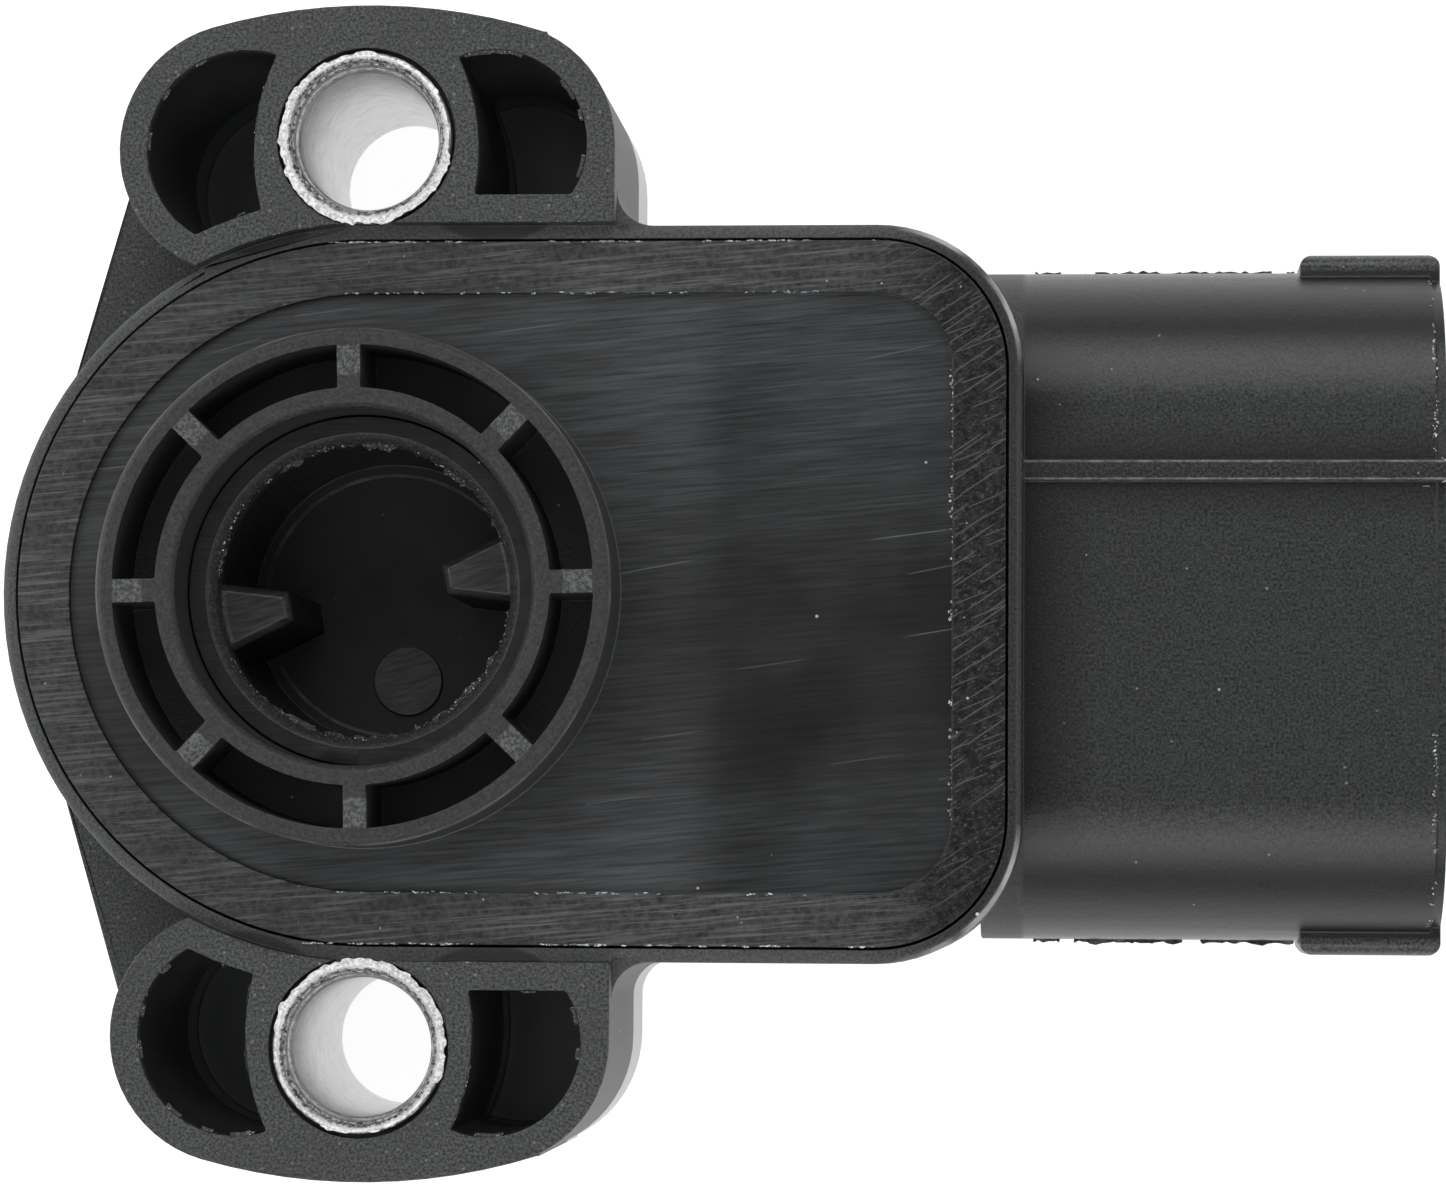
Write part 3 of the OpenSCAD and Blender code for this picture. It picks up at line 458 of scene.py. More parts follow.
def rotor_finish():
    """Black bearing plastic, smooth on the neck, torn along the socket's edge."""
    f = Finish("bearing_plastic", grey(0.01), 0.4)
    from_axis = f.far_from(0, 0)
    high = f.past(f.axis("Z"), ROTOR_HIGH.z - 1.6 * MM, 0.4 * MM)
    edge = f.times(f.band(from_axis, 5.0 * MM, 5.15 * MM, 5.4 * MM, 5.6 * MM), high)
    lugs = f.times(f.within(from_axis, 5.1 * MM, 0.1 * MM), high)
    inside = f.times(f.within(from_axis, 5.2 * MM, 0.06 * MM), f.without(high))
    floor = f.within(f.axis("Z"), SOCKET_FLOOR + 0.2 * MM, 0.4 * MM)
    pad = f.within(f.far_from(*PAD), PAD_R - 0.03 * MM, 0.03 * MM)
    torn = f.cloud(0.14 * MM, detail=4, rough=0.7)
    drag = f.cloud((1.6 * MM, 0.12 * MM, 1 * MM), detail=3)
    lug_drag = f.cloud((0.9 * MM, 0.09 * MM, 1 * MM), turn=14, detail=3, rough=0.6)
    soft = f.cloud(0.9 * MM, detail=3)

    tone = f.blend(f.fade(drag, 0.35, 0.75), grey(0.009, -0.05), grey(0.02, -0.05))
    # Painted shade darkens the socket's walls; painted light lifts its floor.
    tone = f.blend(inside, tone, grey(0.006, -0.05))
    tone = f.blend(floor, tone, grey(0.024, -0.05))
    tone = f.blend(f.times(floor, pad), tone,
                   f.blend(f.fade(lug_drag, 0.35, 0.7), grey(0.07), grey(0.17)))
    step = f.times(f.within(f.off(from_axis, SOCKET_STEP_R), 0.03 * MM, 0.05 * MM),
                   f.fade(soft, 0.45, 0.6))
    tone = f.blend(f.times(floor, step), tone, grey(0.12))
    tone = f.blend(lugs, tone, f.blend(f.fade(lug_drag, 0.35, 0.72), grey(0.01), grey(0.045)))
    tone = f.blend(f.times(edge, f.fade(torn, 0.55, 0.72)), tone, grey(0.1))
    tone = f.blend(f.times(f.dots(0.8 * MM, 0.06, 0.4), 0.7), tone, grey(0.3))
    f.colour(tone)

    f.rough(f.blend(edge, f.fade(soft, 0.3, 0.7, 0.3, 0.46), 0.55))
    f.raise_by(f.times(edge, torn), 0.08 * MM)
    f.raise_by(drag, 0.008 * MM, 0.6)
    return f.material


def bushing_finish():
    """Bare turned steel, with rings on its ends and drawn lines round its bore."""
    f = Finish("turned_steel", grey(0.8), 0.3, metallic=1.0)
    from_bolt = f.far_from(0, BOLT_Y, mirrored=True)
    turning = f.rings(from_bolt, 0.06 * MM, detail=3)
    bore = f.cloud((0.7 * MM, 0.7 * MM, 0.1 * MM), detail=3)
    blotch = f.cloud(0.5 * MM, detail=4, rough=0.7)
    tarnish = f.cloud(0.16 * MM, detail=3, rough=0.7)
    step = f.band(f.axis("Z"), -1.1 * MM, -0.95 * MM, -0.8 * MM, -0.65 * MM)
    end = f.past(f.axis("Z"), -1.0 * MM, 0.1 * MM)
    rim = f.times(end, f.past(from_bolt, 2.84 * MM, 0.04 * MM))
    torn = f.times(f.band(from_bolt, 2.56 * MM, 2.62 * MM, 2.76 * MM, 2.82 * MM), end)

    tone = f.blend(f.fade(turning, 0.35, 0.65), grey(0.66), grey(0.9))
    tone = f.blend(f.fade(bore, 0.42, 0.62, 0.35, 0), tone, grey(0.4))
    tone = f.blend(f.fade(blotch, 0.48, 0.72, 0, 0.55), tone, grey(0.4, 0.02))
    tone = f.blend(rim, tone, f.blend(f.fade(tarnish, 0.4, 0.56), grey(0.55), grey(0.96)))
    tone = f.blend(f.times(torn, f.fade(tarnish, 0.47, 0.56, 0, 0.9)), tone, grey(0.05))
    tone = f.blend(f.times(step, f.fade(tarnish, 0.42, 0.6)), tone, grey(0.14))
    f.colour(tone)

    f.rough(f.blend(end, f.fade(bore, 0.3, 0.7, 0.26, 0.44), 0.5))
    f.raise_by(turning, 0.02 * MM, 0.8)
    f.raise_by(bore, 0.03 * MM, 0.8)
    f.raise_by(f.times(torn, tarnish), 0.08 * MM)
    return f.material


def torn_finish(name, dark, white, share):
    """Stress-whitened flash, burrs and crumbs, white only in specks; share is 0 to 1."""
    f = Finish(name, grey(0.05), 0.45)
    speck = f.cloud(0.07 * MM, detail=3, rough=0.7)
    run = f.cloud(0.8 * MM)
    edge = 0.68 - 0.3 * share
    tone = f.blend(f.fade(speck, edge, edge + 0.08), grey(dark, -0.03), grey(white, -0.02))
    f.colour(f.blend(f.fade(run, 0.38, 0.52, 0.25, 1), grey(dark, -0.03), tone))
    f.rough(f.fade(speck, 0.3, 0.7, 0.35, 0.6))
    f.raise_by(speck, 0.03 * MM)
    return f.material


def spring_finish():
    """Drawn spring wire and strip, blued a little."""
    f = Finish("drawn_wire", grey(0.45, -0.03), 0.3, metallic=1.0)
    drawn = f.cloud((0.06 * MM, 0.06 * MM, 0.5 * MM), detail=3)
    f.colour(f.blend(f.fade(drawn, 0.3, 0.7), grey(0.34, -0.05), grey(0.58, -0.02)))
    f.rough(f.fade(drawn, 0.3, 0.7, 0.22, 0.42))
    f.raise_by(drawn, 0.008 * MM)
    return f.material


def contact_finish():
    """Pale gold contact alloy with rolling marks."""
    f = Finish("contact_alloy", (0.75, 0.56, 0.3), 0.28, metallic=1.0)
    rolled = f.cloud((2 * MM, 0.05 * MM, 0.05 * MM), turn=45, detail=3)
    f.colour(f.blend(f.fade(rolled, 0.3, 0.7), (0.6, 0.43, 0.21), (0.83, 0.65, 0.38)))
    f.rough(f.fade(rolled, 0.3, 0.7, 0.2, 0.38))
    f.raise_by(rolled, 0.006 * MM)
    return f.material


def terminal_finish():
    """Tinned brass strip, dull silver with faint yellow where it was sheared."""
    f = Finish("tinned_brass", (0.72, 0.7, 0.66), 0.32, metallic=1.0)
    rolled = f.cloud((1.5 * MM, 0.06 * MM, 0.06 * MM), detail=3)
    stain = f.cloud(1.2 * MM, detail=3)
    tone = f.blend(f.fade(rolled, 0.3, 0.7), (0.6, 0.58, 0.54), (0.8, 0.78, 0.74))
    f.colour(f.blend(f.fade(stain, 0.55, 0.75, 0, 0.5), tone, (0.66, 0.54, 0.32)))
    f.rough(f.fade(rolled, 0.3, 0.7, 0.26, 0.44))
    f.raise_by(rolled, 0.006 * MM)
    return f.material


def board_finish():
    """Green laminate with its weave and near-black printed tracks on top."""
    f = Finish("board_laminate", (0.02, 0.12, 0.05), 0.4)
    weave = f.times(f.cloud((0.9 * MM, 0.15 * MM, 1 * MM)),
                    f.cloud((0.15 * MM, 0.9 * MM, 1 * MM)))
    ink = f.past(f.axis("Z"), BOARD_HIGH.z - 0.04 * MM, 0.01 * MM)
    tone = f.blend(f.fade(weave, 0.15, 0.4), (0.012, 0.09, 0.035), (0.03, 0.17, 0.07))
    f.colour(f.blend(ink, tone, grey(0.012)))
    f.rough(f.fade(weave, 0.1, 0.4, 0.3, 0.5))
    f.raise_by(weave, 0.01 * MM)
    return f.material


def washer_finish():
    """Natural bearing plastic, waxy and slightly cloudy."""
    f = Finish("waxy_plastic", (0.6, 0.56, 0.46), 0.35)
    cloud = f.cloud(0.8 * MM, detail=3)
    f.colour(f.blend(f.fade(cloud, 0.3, 0.7), (0.52, 0.48, 0.38), (0.66, 0.62, 0.52)))
    f.rough(f.fade(cloud, 0.3, 0.7, 0.3, 0.45))
    f.raise_by(cloud, 0.01 * MM)
    return f.material


FINISHES = {
    "housing_plastic": housing_finish(),
    "cover_plastic": cover_finish(),
    "bushing_steel": bushing_finish(),
    "rotor_plastic": rotor_finish(),
    "spring_steel": spring_finish(),
    "contact_alloy": contact_finish(),
    "terminal_tin": terminal_finish(),
    "board_laminate": board_finish(),
    "washer_plastic": washer_finish(),
    "torn": torn_finish("torn_plastic", 0.012, 0.5, 0.35),
    "whitened": torn_finish("whitened_plastic", 0.1, 0.75, 0.7),
}
for row in frame["record"]["subparts"]:
    node = NODES[row["node"]]
    node.data.materials.clear()
    node.data.materials.append(FINISHES[row["material_slot"]])


# ---------------------------------------------------------------- modelling

MERGE = 0.001 * MM          # vertices closer than this are one
FLAT = math.radians(0.3)    # faces that meet at less than this are one


def only(piece):
    """Selects a piece and nothing else."""
    bpy.ops.object.select_all(action="DESELECT")
    piece.select_set(True)
    bpy.context.view_layer.objects.active = piece


def edit(piece):
    only(piece)
    bpy.ops.object.mode_set(mode="EDIT")


def leave():
    bpy.ops.object.mode_set(mode="OBJECT")


def apply(piece, kind, **settings):
    """Puts a modifier on a piece and applies it."""
    only(piece)
    modifier = piece.modifiers.new(kind.lower(), kind)
    for setting, value in settings.items():
        setattr(modifier, setting, value)
    bpy.ops.object.modifier_apply(modifier=modifier.name)


def pick(piece, kind, wanted):
    """In edit mode, selects the vertices, edges or faces that pass a test."""
    bpy.ops.mesh.select_mode(type=kind)
    bpy.ops.mesh.select_all(action="DESELECT")
    mesh = bmesh.from_edit_mesh(piece.data)
    parts = {"VERT": mesh.verts, "EDGE": mesh.edges, "FACE": mesh.faces}[kind]
    for part in parts:
        if wanted(part):
            part.select_set(True)
    mesh.select_flush_mode()
    bmesh.update_edit_mesh(piece.data)


def middle(edge):
    """The point halfway along an edge."""
    return (edge.verts[0].co + edge.verts[1].co) / 2


def merged(node, name):
    """A copy of a solid's mesh, its triangles joined to flat faces, each face cut at
    the rotor axis so that none runs all the way round an opening."""
    piece = bpy.data.objects.new(name, NODES[node].data.copy())
    bpy.context.scene.collection.objects.link(piece)
    edit(piece)
    bpy.ops.mesh.select_all(action="SELECT")
    bpy.ops.mesh.remove_doubles(threshold=MERGE)
    bpy.ops.mesh.dissolve_limited(angle_limit=FLAT)
    for across in ((1, 0, 0), (0, 1, 0)):
        bpy.ops.mesh.select_all(action="SELECT")
        bpy.ops.mesh.bisect(plane_co=(0, 0, 0), plane_no=across, threshold=MERGE)
    bpy.ops.mesh.customdata_custom_splitnormals_clear()
    leave()
    return piece


def finished(piece, finish, slot, body, *nodes, smooth=40):
    """Gives a piece its finish and the body that it rides on; slot is not used; nodes are the
    solids that it stands in for."""
    only(piece)
    piece.data.materials.clear()
    piece.data.materials.append(finish)
    bpy.ops.object.shade_smooth_by_angle(angle=math.radians(smooth))
    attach(piece, body)
    if nodes:
        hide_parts(*nodes)
    return piece


def moulded(node, name, slot, body, rounding, from_angle=32):
    """The solid with its edges rounded as they leave the mould, all but those that
    seat a bushing."""
    piece = merged(node, name)

    def sharp(edge):
        spot = middle(edge)
        off_seat = math.hypot(spot.x, abs(spot.y) - BOLT_Y) > SEAT_R
        return off_seat and edge.calc_face_angle(0) > math.radians(from_angle)

    edit(piece)
    pick(piece, "EDGE", sharp)
    bpy.ops.transform.edge_bevelweight(value=1)
    leave()
    apply(piece, "BEVEL", width=rounding, segments=2, limit_method="WEIGHT",
          use_clamp_overlap=False, loop_slide=False, miter_outer="MITER_ARC")
    finished(piece, FINISHES[slot], slot, body, node)
    apply(piece, "WEIGHTED_NORMAL", keep_sharp=True)
    return piece


def turned(name, centre, profile, sides):
    """A revolved piece: a circle drawn through a closed outline of radius and level."""
    radius, level = profile[0]
    bpy.ops.object.select_all(action="DESELECT")
    bpy.ops.mesh.primitive_circle_add(vertices=sides, radius=radius, fill_type="NOTHING",
                                      location=(*centre, level))
    piece = bpy.context.object
    piece.name = piece.data.name = name
    bpy.ops.object.transform_apply()
    edit(piece)
    bpy.ops.mesh.select_all(action="SELECT")
    for next_radius, next_level in (*profile[1:], profile[0]):
        bpy.ops.mesh.extrude_region_move(
            TRANSFORM_OT_translate={"value": (0, 0, next_level - level)})
        widen(next_radius / radius, centre, next_level)
        radius, level = next_radius, next_level
    bpy.ops.mesh.select_all(action="SELECT")
    bpy.ops.mesh.remove_doubles(threshold=0.0005 * MM)
    bpy.ops.mesh.normals_make_consistent(inside=False)
    leave()
    return piece


def shake(reach, seed):
    """Moves the selected vertices a little each way."""
    bpy.ops.transform.vertex_random(offset=reach, uniform=0, normal=0, seed=seed)


def fray(piece, wanted, reach, seed):
    """Shakes the chosen vertices, as a torn edge has it."""
    edit(piece)
    pick(piece, "VERT", wanted)
    shake(reach, seed)
    leave()


def widen(grow, centre, level=0.0):
    """Moves the selected vertices out from an axis, or in where grow is under 1."""
    bpy.ops.transform.resize(value=(grow, grow, 1), center_override=(*centre, level))


def slow_noise(spot, size, seed=0):
    """Smooth noise from -1 to 1 that changes over a length of size."""
    return noise.noise(spot / size + Vector((seed, 0, 0)))


# ---------------------------------------------------------------- pieces

# Heading of the drive lugs, and the sine of the half angle that one takes up
LUG_ANGLE, LUG_SINE = math.radians(10), 0.29

# Radius and level in mm down one end of a bushing, from its rim to its bore
SLEEVE_R, RIM_EDGE = 3.0, 0.08
SLEEVE_END = [(2.94, 0.0), (2.76, 0.0), (2.71, -0.05), (2.67, -0.34), (2.6, -0.4),
              (2.58, -0.68), (2.5, -0.76), (2.5, -0.98), (2.53, -1.02), (2.45, -1.16)]

# Burrs on a bushing's rim: their size, the noise that they start at, how far they stand out
BURRS = ((1.3 * MM, 0.0, 1.03), (0.6 * MM, 0.15, 1.02), (0.3 * MM, 0.25, 1.015))

# Tears in the socket's lip: their size and the part of the lip that they take away
TEARS = ((1.6 * MM, 0.35), (0.6 * MM, 0.35), (0.3 * MM, 0.25))


def between_lugs(x, y):
    """Whether a place round the socket is clear of both drive lugs."""
    return abs(math.sin(math.atan2(y, x) - LUG_ANGLE)) > LUG_SINE


def bushing(name, node, y, burr_side, seed):
    """A steel sleeve turned on both ends, its rim burred where it was parted off,
    most on the side that burr_side points to."""
    low = BUSHING_LOW.z / MM
    outline = [*SLEEVE_END, *((r, low - z) for r, z in reversed(SLEEVE_END)),
               (SLEEVE_R, low + 0.07), (SLEEVE_R, -RIM_EDGE)]
    piece = turned(name, (0, y), [(r * MM, z * MM) for r, z in outline], sides=144)

    def on_rim(v):
        return v.co.z > -0.02 * MM and math.hypot(v.co.x, v.co.y - y) > 2.9 * MM

    def burred(v, size, bar):
        side = Vector((v.co.x, v.co.y - y)).normalized().dot(Vector(burr_side))
        return on_rim(v) and slow_noise(v.co, size, seed) + 0.35 * side > bar

    edit(piece)
    for size, bar, out in BURRS:
        pick(piece, "VERT", lambda v: burred(v, size, bar))
        widen(out, (0, y))
    leave()
    fray(piece, on_rim, 0.05 * MM, seed)
    edit(piece)
    pick(piece, "VERT", lambda v: v.co.z > 0)
    bpy.ops.transform.resize(value=(1, 1, 0), center_override=(0, y, 0))
    leave()
    return finished(piece, FINISHES["bushing_steel"], "bushing_steel", "body", node)


def socket_burr(reach, drop, seed):
    """A torn lip round the drive socket, hanging inwards and a little down, gone in
    places and over the lugs."""
    wall = 0.03 * MM
    level = SOCKET_EDGE_LEVEL

    def inner(v):
        return math.hypot(v.co.x, v.co.y) < SOCKET_R - reach / 2

    def free(v):
        return between_lugs(v.co.x, v.co.y)

    piece = turned("socket_burr", (0, 0), [
        (SOCKET_R, level), (SOCKET_R - reach, level - drop),
        (SOCKET_R - reach, level - drop - wall), (SOCKET_R, level - 2 * wall)], sides=220)
    edit(piece)
    for size, part in TEARS:
        pick(piece, "VERT", lambda v: inner(v) and slow_noise(v.co, size) < 0)
        widen(1 + part * reach / SOCKET_R, (0, 0), level)
    pick(piece, "VERT", lambda v: inner(v) and not free(v))
    widen(1 + 0.9 * reach / SOCKET_R, (0, 0), level)
    leave()
    fray(piece, lambda v: inner(v) and free(v), reach * 0.35, seed)
    return finished(piece, FINISHES["torn"], "rotor_plastic", "rotor")


def pocket_lip(name, centre, seed):
    """Thin flash round the mouth of one ear pocket, pulled in from its own edge."""
    piece = merged("housing", name)
    side = 1 if centre[1] > 0 else -1
    pull = 0.965

    def on_mouth(edge):
        spot = middle(edge)
        return (abs(spot.z - EAR_LEVEL) < 0.03 * MM
                and math.hypot(spot.x, spot.y - side * BOLT_Y) > BOSS_R - 0.1 * MM
                and math.hypot(spot.x - centre[0], spot.y - centre[1]) < 3.62 * MM)

    edit(piece)
    pick(piece, "EDGE", lambda edge: not on_mouth(edge))
    bpy.ops.mesh.delete(type="EDGE")
    pick(piece, "EDGE", lambda edge: edge.calc_length() > 0.5 * MM)
    bpy.ops.mesh.subdivide(number_cuts=9)
    pick(piece, "EDGE", lambda edge: edge.calc_length() > 0.2 * MM)
    bpy.ops.mesh.subdivide(number_cuts=1)
    pick(piece, "VERT", lambda v: slow_noise(v.co, 1.1 * MM, seed) < 0.02)
    bpy.ops.mesh.delete(type="VERT")
    bpy.ops.mesh.select_all(action="SELECT")
    bpy.ops.mesh.extrude_region_move(TRANSFORM_OT_translate={"value": (0, 0, -0.03 * MM)})
    widen(pull, centre, EAR_LEVEL)
    shake(0.05 * MM, seed)
    leave()
    apply(piece, "SOLIDIFY", thickness=0.03 * MM, offset=-1)
    return finished(piece, FINISHES["torn"], "housing_plastic", "body")


def flash_strip(name, start_x, end_x, side, reach, seed):
    """A ragged parting-line flash along one side of the connector shell, upper for
    side 1 and lower for side -1."""
    start, end = (Vector((x, side * SHELL_SIDE_Y, SHELL_MID)) for x in (start_x, end_x))
    length = (end - start).length
    steps = int(length / (0.16 * MM))
    bpy.ops.object.select_all(action="DESELECT")
    bpy.ops.mesh.primitive_grid_add(x_subdivisions=steps, y_subdivisions=1, size=1,
                                    location=(start + end) / 2)
    piece = bpy.context.object
    piece.name = piece.data.name = name
    piece.scale = (length, reach, 1)
    bpy.ops.object.transform_apply()
    middle_y = side * SHELL_SIDE_Y
    edge_y = middle_y + side * reach / 2
    fray(piece, lambda v: (v.co.y - middle_y) * side > 0, reach * 0.55, seed)
    edit(piece)
    pick(piece, "VERT", lambda v: (v.co.y - edge_y) * side > 0)
    bpy.ops.transform.translate(value=(0, -side * reach * 0.3, 0))
    pick(piece, "FACE", lambda face: slow_noise(face.calc_center_median(), 1.5 * MM, seed) < -0.22)
    bpy.ops.mesh.delete(type="FACE")
    leave()
    apply(piece, "SOLIDIFY", thickness=0.12 * MM, offset=0)
    return finished(piece, FINISHES["housing_plastic"], "housing_plastic", "body")


def crumbs(name, body, slot, spots, size, seed, stretch=(1.4, 0.8, 0.45), stray=math.pi):
    """Small torn bits of one lump, each copied to its own spot and heading and joined."""
    bpy.ops.object.select_all(action="DESELECT")
    bpy.ops.mesh.primitive_ico_sphere_add(subdivisions=1, radius=size, location=(0, 0, 0))
    lump = bpy.context.object
    edit(lump)
    bpy.ops.mesh.select_all(action="SELECT")
    bpy.ops.transform.resize(value=stretch)
    shake(size * 0.35, seed)
    leave()
    draw = random.Random(seed)
    bits = []
    for *spot, heading in spots:
        bit = bpy.data.objects.new(name + "_bit", lump.data.copy())
        bpy.context.scene.collection.objects.link(bit)
        bit.location = spot
        bit.rotation_euler = (0, 0, heading + draw.uniform(-stray, stray))
        bit.scale = (draw.uniform(0.5, 1.3),) * 3
        bits.append(bit)
    bpy.data.objects.remove(lump)
    bpy.ops.object.select_all(action="DESELECT")
    for bit in bits:
        bit.select_set(True)
    piece = bits[0]
    bpy.context.view_layer.objects.active = piece
    bpy.ops.object.join()
    bpy.ops.object.transform_apply()
    piece.name = piece.data.name = name
    return finished(piece, FINISHES["whitened"], slot, body, smooth=20)


def row_of_spots(count, seed, spot):
    """Spots along a run from 0 to 1, bunched where a slow noise is high."""
    draw = random.Random(seed)
    runs = (draw.random() for _ in range(count))
    return [spot(run, draw.uniform(-1, 1)) for run in runs
            if noise.noise(Vector((run * 7, seed, 0))) > -0.15]


def shell_rear(y):
    """Level of the shell's rear surface at a distance from its middle."""
    past = max(abs(y) - (SHELL_SIDE_Y - SHELL_R), 0)
    return SHELL_REAR_LEVEL - SHELL_R + math.sqrt(SHELL_R ** 2 - past ** 2)


# Each kind of spot is a place and a heading: run says how far along an edge it is,
# drift how far off the edge. side is 1 for the upper edge and -1 for the lower one.

def mouth_spot(side):
    """On the shell's rear surface just short of the connector's mouth."""
    def spot(run, drift):
        y = side * (4.6 + 7.0 * run) * MM
        return MOUTH_X - (0.42 + 0.08 * drift) * MM, y, shell_rear(y), 0
    return spot


def border_spot(side):
    """On a long outer edge of the cover's border."""
    def spot(run, drift):
        out = COVER_HIGH.y - (0.02 + 0.02 * drift) * MM
        return (-2 + 20 * run) * MM, side * out, BORDER_LEVEL, 0
    return spot


def panel_side_spot(side):
    """On a long edge of the sunk panel."""
    def spot(run, drift):
        out = PANEL_SIDE_Y + (0.02 + 0.03 * drift) * MM
        return (-1 + 17 * run) * MM, side * out, BORDER_LEVEL, 0
    return spot


def panel_end_spot(run, drift):
    """At the foot of the sunk panel's edge by the connector."""
    return (PANEL_END_X - (0.03 - 0.09 * drift) * MM, (-8 + 16 * run) * MM,
            PANEL_LEVEL + 0.03 * MM, 0)


def socket_spot(run, drift):
    """On the torn edge of the drive socket."""
    around, out = 2 * math.pi * run, (5.27 + 0.1 * drift) * MM
    return (out * math.cos(around), out * math.sin(around),
            SOCKET_EDGE_LEVEL + abs(drift) * 0.08 * MM, around + math.pi / 2)


# Bits torn up at the mouth's end of the keying rib
CURL_SPOTS = [
    (MOUTH_X - 0.12 * MM, KEY_Y + KEY_HALF + 0.03 * MM, SHELL_REAR_LEVEL + 0.1 * MM, -0.5),
    (MOUTH_X - 0.1 * MM, KEY_Y - KEY_HALF - 0.03 * MM, SHELL_REAR_LEVEL + 0.1 * MM, 0.3),
    (MOUTH_X - 0.75 * MM, KEY_Y - KEY_HALF - 0.2 * MM, SHELL_REAR_LEVEL + 0.02 * MM, 0),
]

moulded("housing", "moulded_housing", "housing_plastic", "body", 0.07 * MM)
moulded("rear_cover", "moulded_cover", "cover_plastic", "body", 0.05 * MM)
moulded("rotor", "moulded_rotor", "rotor_plastic", "rotor", 0.05 * MM)
bushing("upper_sleeve", "upper_bushing", BOLT_Y, (-0.3, -0.95), 3)
bushing("lower_sleeve", "lower_bushing", -BOLT_Y, (0.5, 0.87), 8)
socket_burr(0.24 * MM, 0.14 * MM, 5)
for side, place in ((1, "upper"), (-1, "lower")):
    pocket_lip(place + "_lobe_lip", (LOBE_POCKET[0], side * LOBE_POCKET[1]), 11 + side)
    pocket_lip(place + "_corner_lip", (CORNER_POCKET[0], side * CORNER_POCKET[1]), 21 + side)
    flash_strip(place + "_shell_flash", BODY_END_X + 0.4 * MM, TAB_X, side, 0.3 * MM, 31 + side)
    crumbs(place + "_mouth_crumbs", "body", "housing_plastic",
           row_of_spots(44, 41 + side, mouth_spot(side)), 0.045 * MM, 41 + side)
    crumbs(place + "_border_slivers", "body", "cover_plastic",
           row_of_spots(90, 51 + side, border_spot(side)), 0.045 * MM, 51 + side,
           stretch=(3, 0.6, 0.4), stray=0.12)
    crumbs(place + "_panel_slivers", "body", "cover_plastic",
           row_of_spots(60, 61 + side, panel_side_spot(side)), 0.035 * MM, 61 + side,
           stretch=(2.4, 0.8, 0.4), stray=0.4)
crumbs("panel_crumbs", "body", "cover_plastic",
       row_of_spots(110, 43, panel_end_spot), 0.045 * MM, 43)
crumbs("socket_crumbs", "rotor", "rotor_plastic",
       [spot for spot in row_of_spots(220, 45, socket_spot) if between_lugs(*spot[:2])],
       0.035 * MM, 45)
crumbs("key_curls", "body", "housing_plastic", CURL_SPOTS, 0.08 * MM, 47,
       stretch=(2.4, 0.6, 0.5), stray=0.2)


# ---------------------------------------------------------------- studio

# What the lamps point at, and the floor's size
OBJECT_MIDDLE = Vector((0.012, 0, -0.006))
FLOOR_SIZE = 3
FLOOR_GLOW = 0.9

# Name, place, width and height, and power of each lamp
SOFTBOXES = [
    ("upper_softbox", (0.02, 0.30, 0.33), (0.50, 0.28), 0.84),
    ("lower_softbox", (0.02, -0.30, 0.33), (0.50, 0.28), 0.76),
    ("mouth_softbox", (0.45, 0.0, 0.25), (0.20, 0.30), 0.32),
    ("round_end_softbox", (-0.40, 0.05, 0.30), (0.20, 0.30), 0.7),
]

# Brightness of the air by height, from level (0) to overhead (1)
AIR_LEVELS = ((0.12, 0.6), (0.22, 0.34), (0.5, 0.36), (0.62, 0.52), (0.97, 0.22))


def studio_floor():
    """Pale sweep that stays white to the camera but keeps the object's shadow."""
    bpy.ops.object.select_all(action="DESELECT")
    bpy.ops.mesh.primitive_plane_add(
        size=FLOOR_SIZE, location=(OBJECT_MIDDLE.x, 0, HOUSING_LOW.z - 0.02 * MM))
    floor = bpy.context.object
    floor.name = "studio_floor"
    bpy.ops.object.transform_apply()
    material = bpy.data.materials.new("pale_floor")
    material.use_nodes = True
    tree = material.node_tree
    shader = tree.nodes["Principled BSDF"]
    shader.inputs["Base Color"].default_value = (0.45, 0.45, 0.45, 1)
    shader.inputs["Roughness"].default_value = 0.9
    shader.inputs["Emission Color"].default_value = (1, 1, 1, 1)
    ray = tree.nodes.new("ShaderNodeLightPath")
    seen = tree.nodes.new("ShaderNodeMath")
    seen.operation = "MAXIMUM"
    tree.links.new(ray.outputs["Is Camera Ray"], seen.inputs[0])
    tree.links.new(ray.outputs["Is Glossy Ray"], seen.inputs[1])
    glow = tree.nodes.new("ShaderNodeMath")
    glow.operation = "MULTIPLY"
    glow.inputs[1].default_value = FLOOR_GLOW
    tree.links.new(seen.outputs[0], glow.inputs[0])
    tree.links.new(glow.outputs[0], shader.inputs["Emission Strength"])
    floor.data.materials.append(material)


def softbox(name, place, size, power):
    """A rectangular lamp that points at the middle of the object."""
    light = bpy.data.lights.new(name, "AREA")
    light.shape = "RECTANGLE"
    light.size, light.size_y = size
    light.energy = power
    lamp = bpy.data.objects.new(name, light)
    bpy.context.scene.collection.objects.link(lamp)
    lamp.location = place
    aim = OBJECT_MIDDLE - Vector(place)
    lamp.rotation_euler = aim.to_track_quat("-Z", "Y").to_euler()


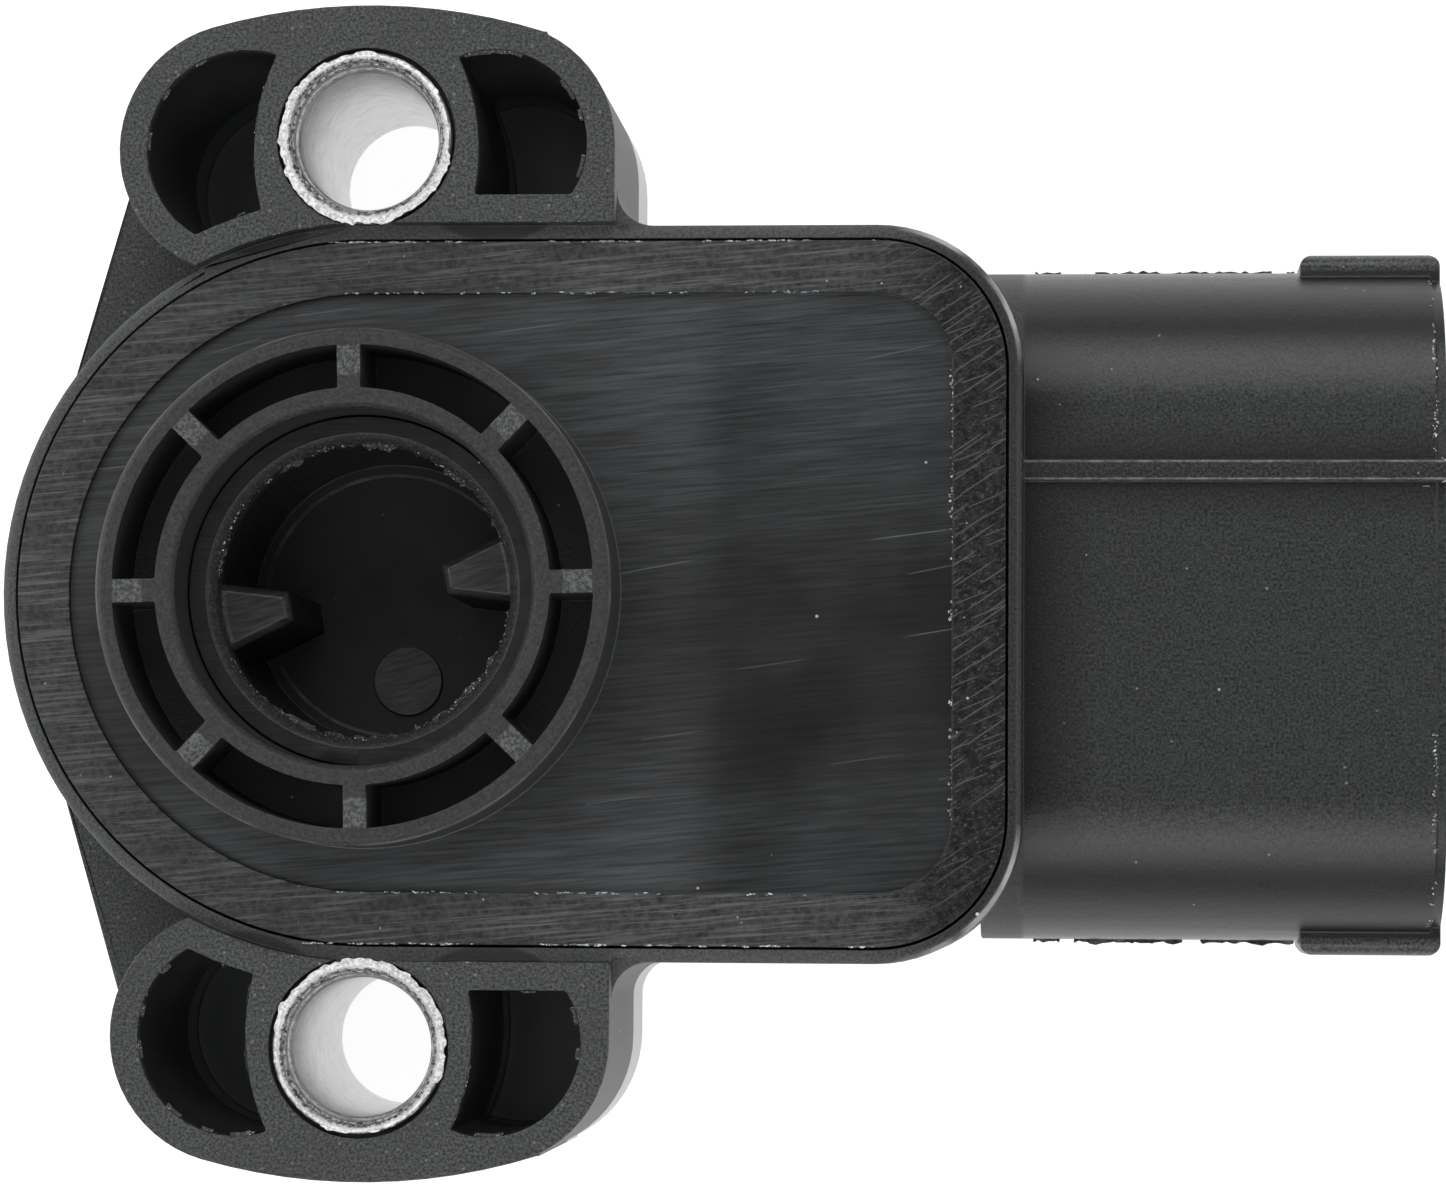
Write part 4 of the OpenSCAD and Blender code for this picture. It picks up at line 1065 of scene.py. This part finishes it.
def studio_air():
    """White to the camera; a soft dome, darker overhead, to everything else."""
    world = bpy.data.worlds.new("studio_air")
    bpy.context.scene.world = world
    world.use_nodes = True
    tree = world.node_tree
    air = tree.nodes["Background"]
    air.inputs["Color"].default_value = (1, 1, 1, 1)
    ray = tree.nodes.new("ShaderNodeLightPath")
    way = tree.nodes.new("ShaderNodeTexCoord")
    height = tree.nodes.new("ShaderNodeSeparateXYZ")
    tree.links.new(way.outputs["Generated"], height.inputs[0])
    dome = tree.nodes.new("ShaderNodeValToRGB")
    dome.color_ramp.elements.remove(dome.color_ramp.elements[1])
    dome.color_ramp.elements[0].color = (0.6, 0.6, 0.6, 1)
    for at, level in AIR_LEVELS:
        dome.color_ramp.elements.new(at).color = (level, level, level, 1)
    tree.links.new(height.outputs["Z"], dome.inputs["Fac"])
    strength = tree.nodes.new("ShaderNodeMapRange")
    strength.inputs["To Max"].default_value = 1.0
    tree.links.new(dome.outputs[0], strength.inputs["To Min"])
    tree.links.new(ray.outputs["Is Camera Ray"], strength.inputs["Value"])
    tree.links.new(strength.outputs[0], air.inputs["Strength"])


# ---------------------------------------------------------------- camera

# Turn and shift of the object in front of the lens, fitted to the photograph
CAMERA_TURN = (-0.0478953, -0.0817223, -0.00257536)
CAMERA_SHIFT = (-9.38404 * MM, 2.07099 * MM, -181.528 * MM)
PHOTO_WIDTH, PHOTO_HEIGHT = 1446, 1187
FOCAL_PIXELS = 5175.787
AXIS_PIXEL = (629.264, 649.412)


def photo_camera():
    """The camera of the photograph: its shift stands for the picture's cropping."""
    lens = bpy.data.cameras.new("photo_camera")
    lens.sensor_fit = "HORIZONTAL"
    lens.sensor_width = 36
    lens.lens = FOCAL_PIXELS * lens.sensor_width / PHOTO_WIDTH
    lens.shift_x = (PHOTO_WIDTH / 2 - AXIS_PIXEL[0]) / PHOTO_WIDTH
    lens.shift_y = (AXIS_PIXEL[1] - PHOTO_HEIGHT / 2) / PHOTO_WIDTH
    lens.clip_start, lens.clip_end = 0.01, 10
    camera = bpy.data.objects.new("photo_camera", lens)
    bpy.context.scene.collection.objects.link(camera)
    turn = Euler(CAMERA_TURN, "XYZ").to_matrix().to_4x4()
    camera.matrix_world = (Matrix.Translation(CAMERA_SHIFT) @ turn).inverted()
    bpy.context.scene.camera = camera


studio_floor()
for lamp in SOFTBOXES:
    softbox(*lamp)
studio_air()
photo_camera()
bpy.context.scene.view_settings.view_transform = "Standard"
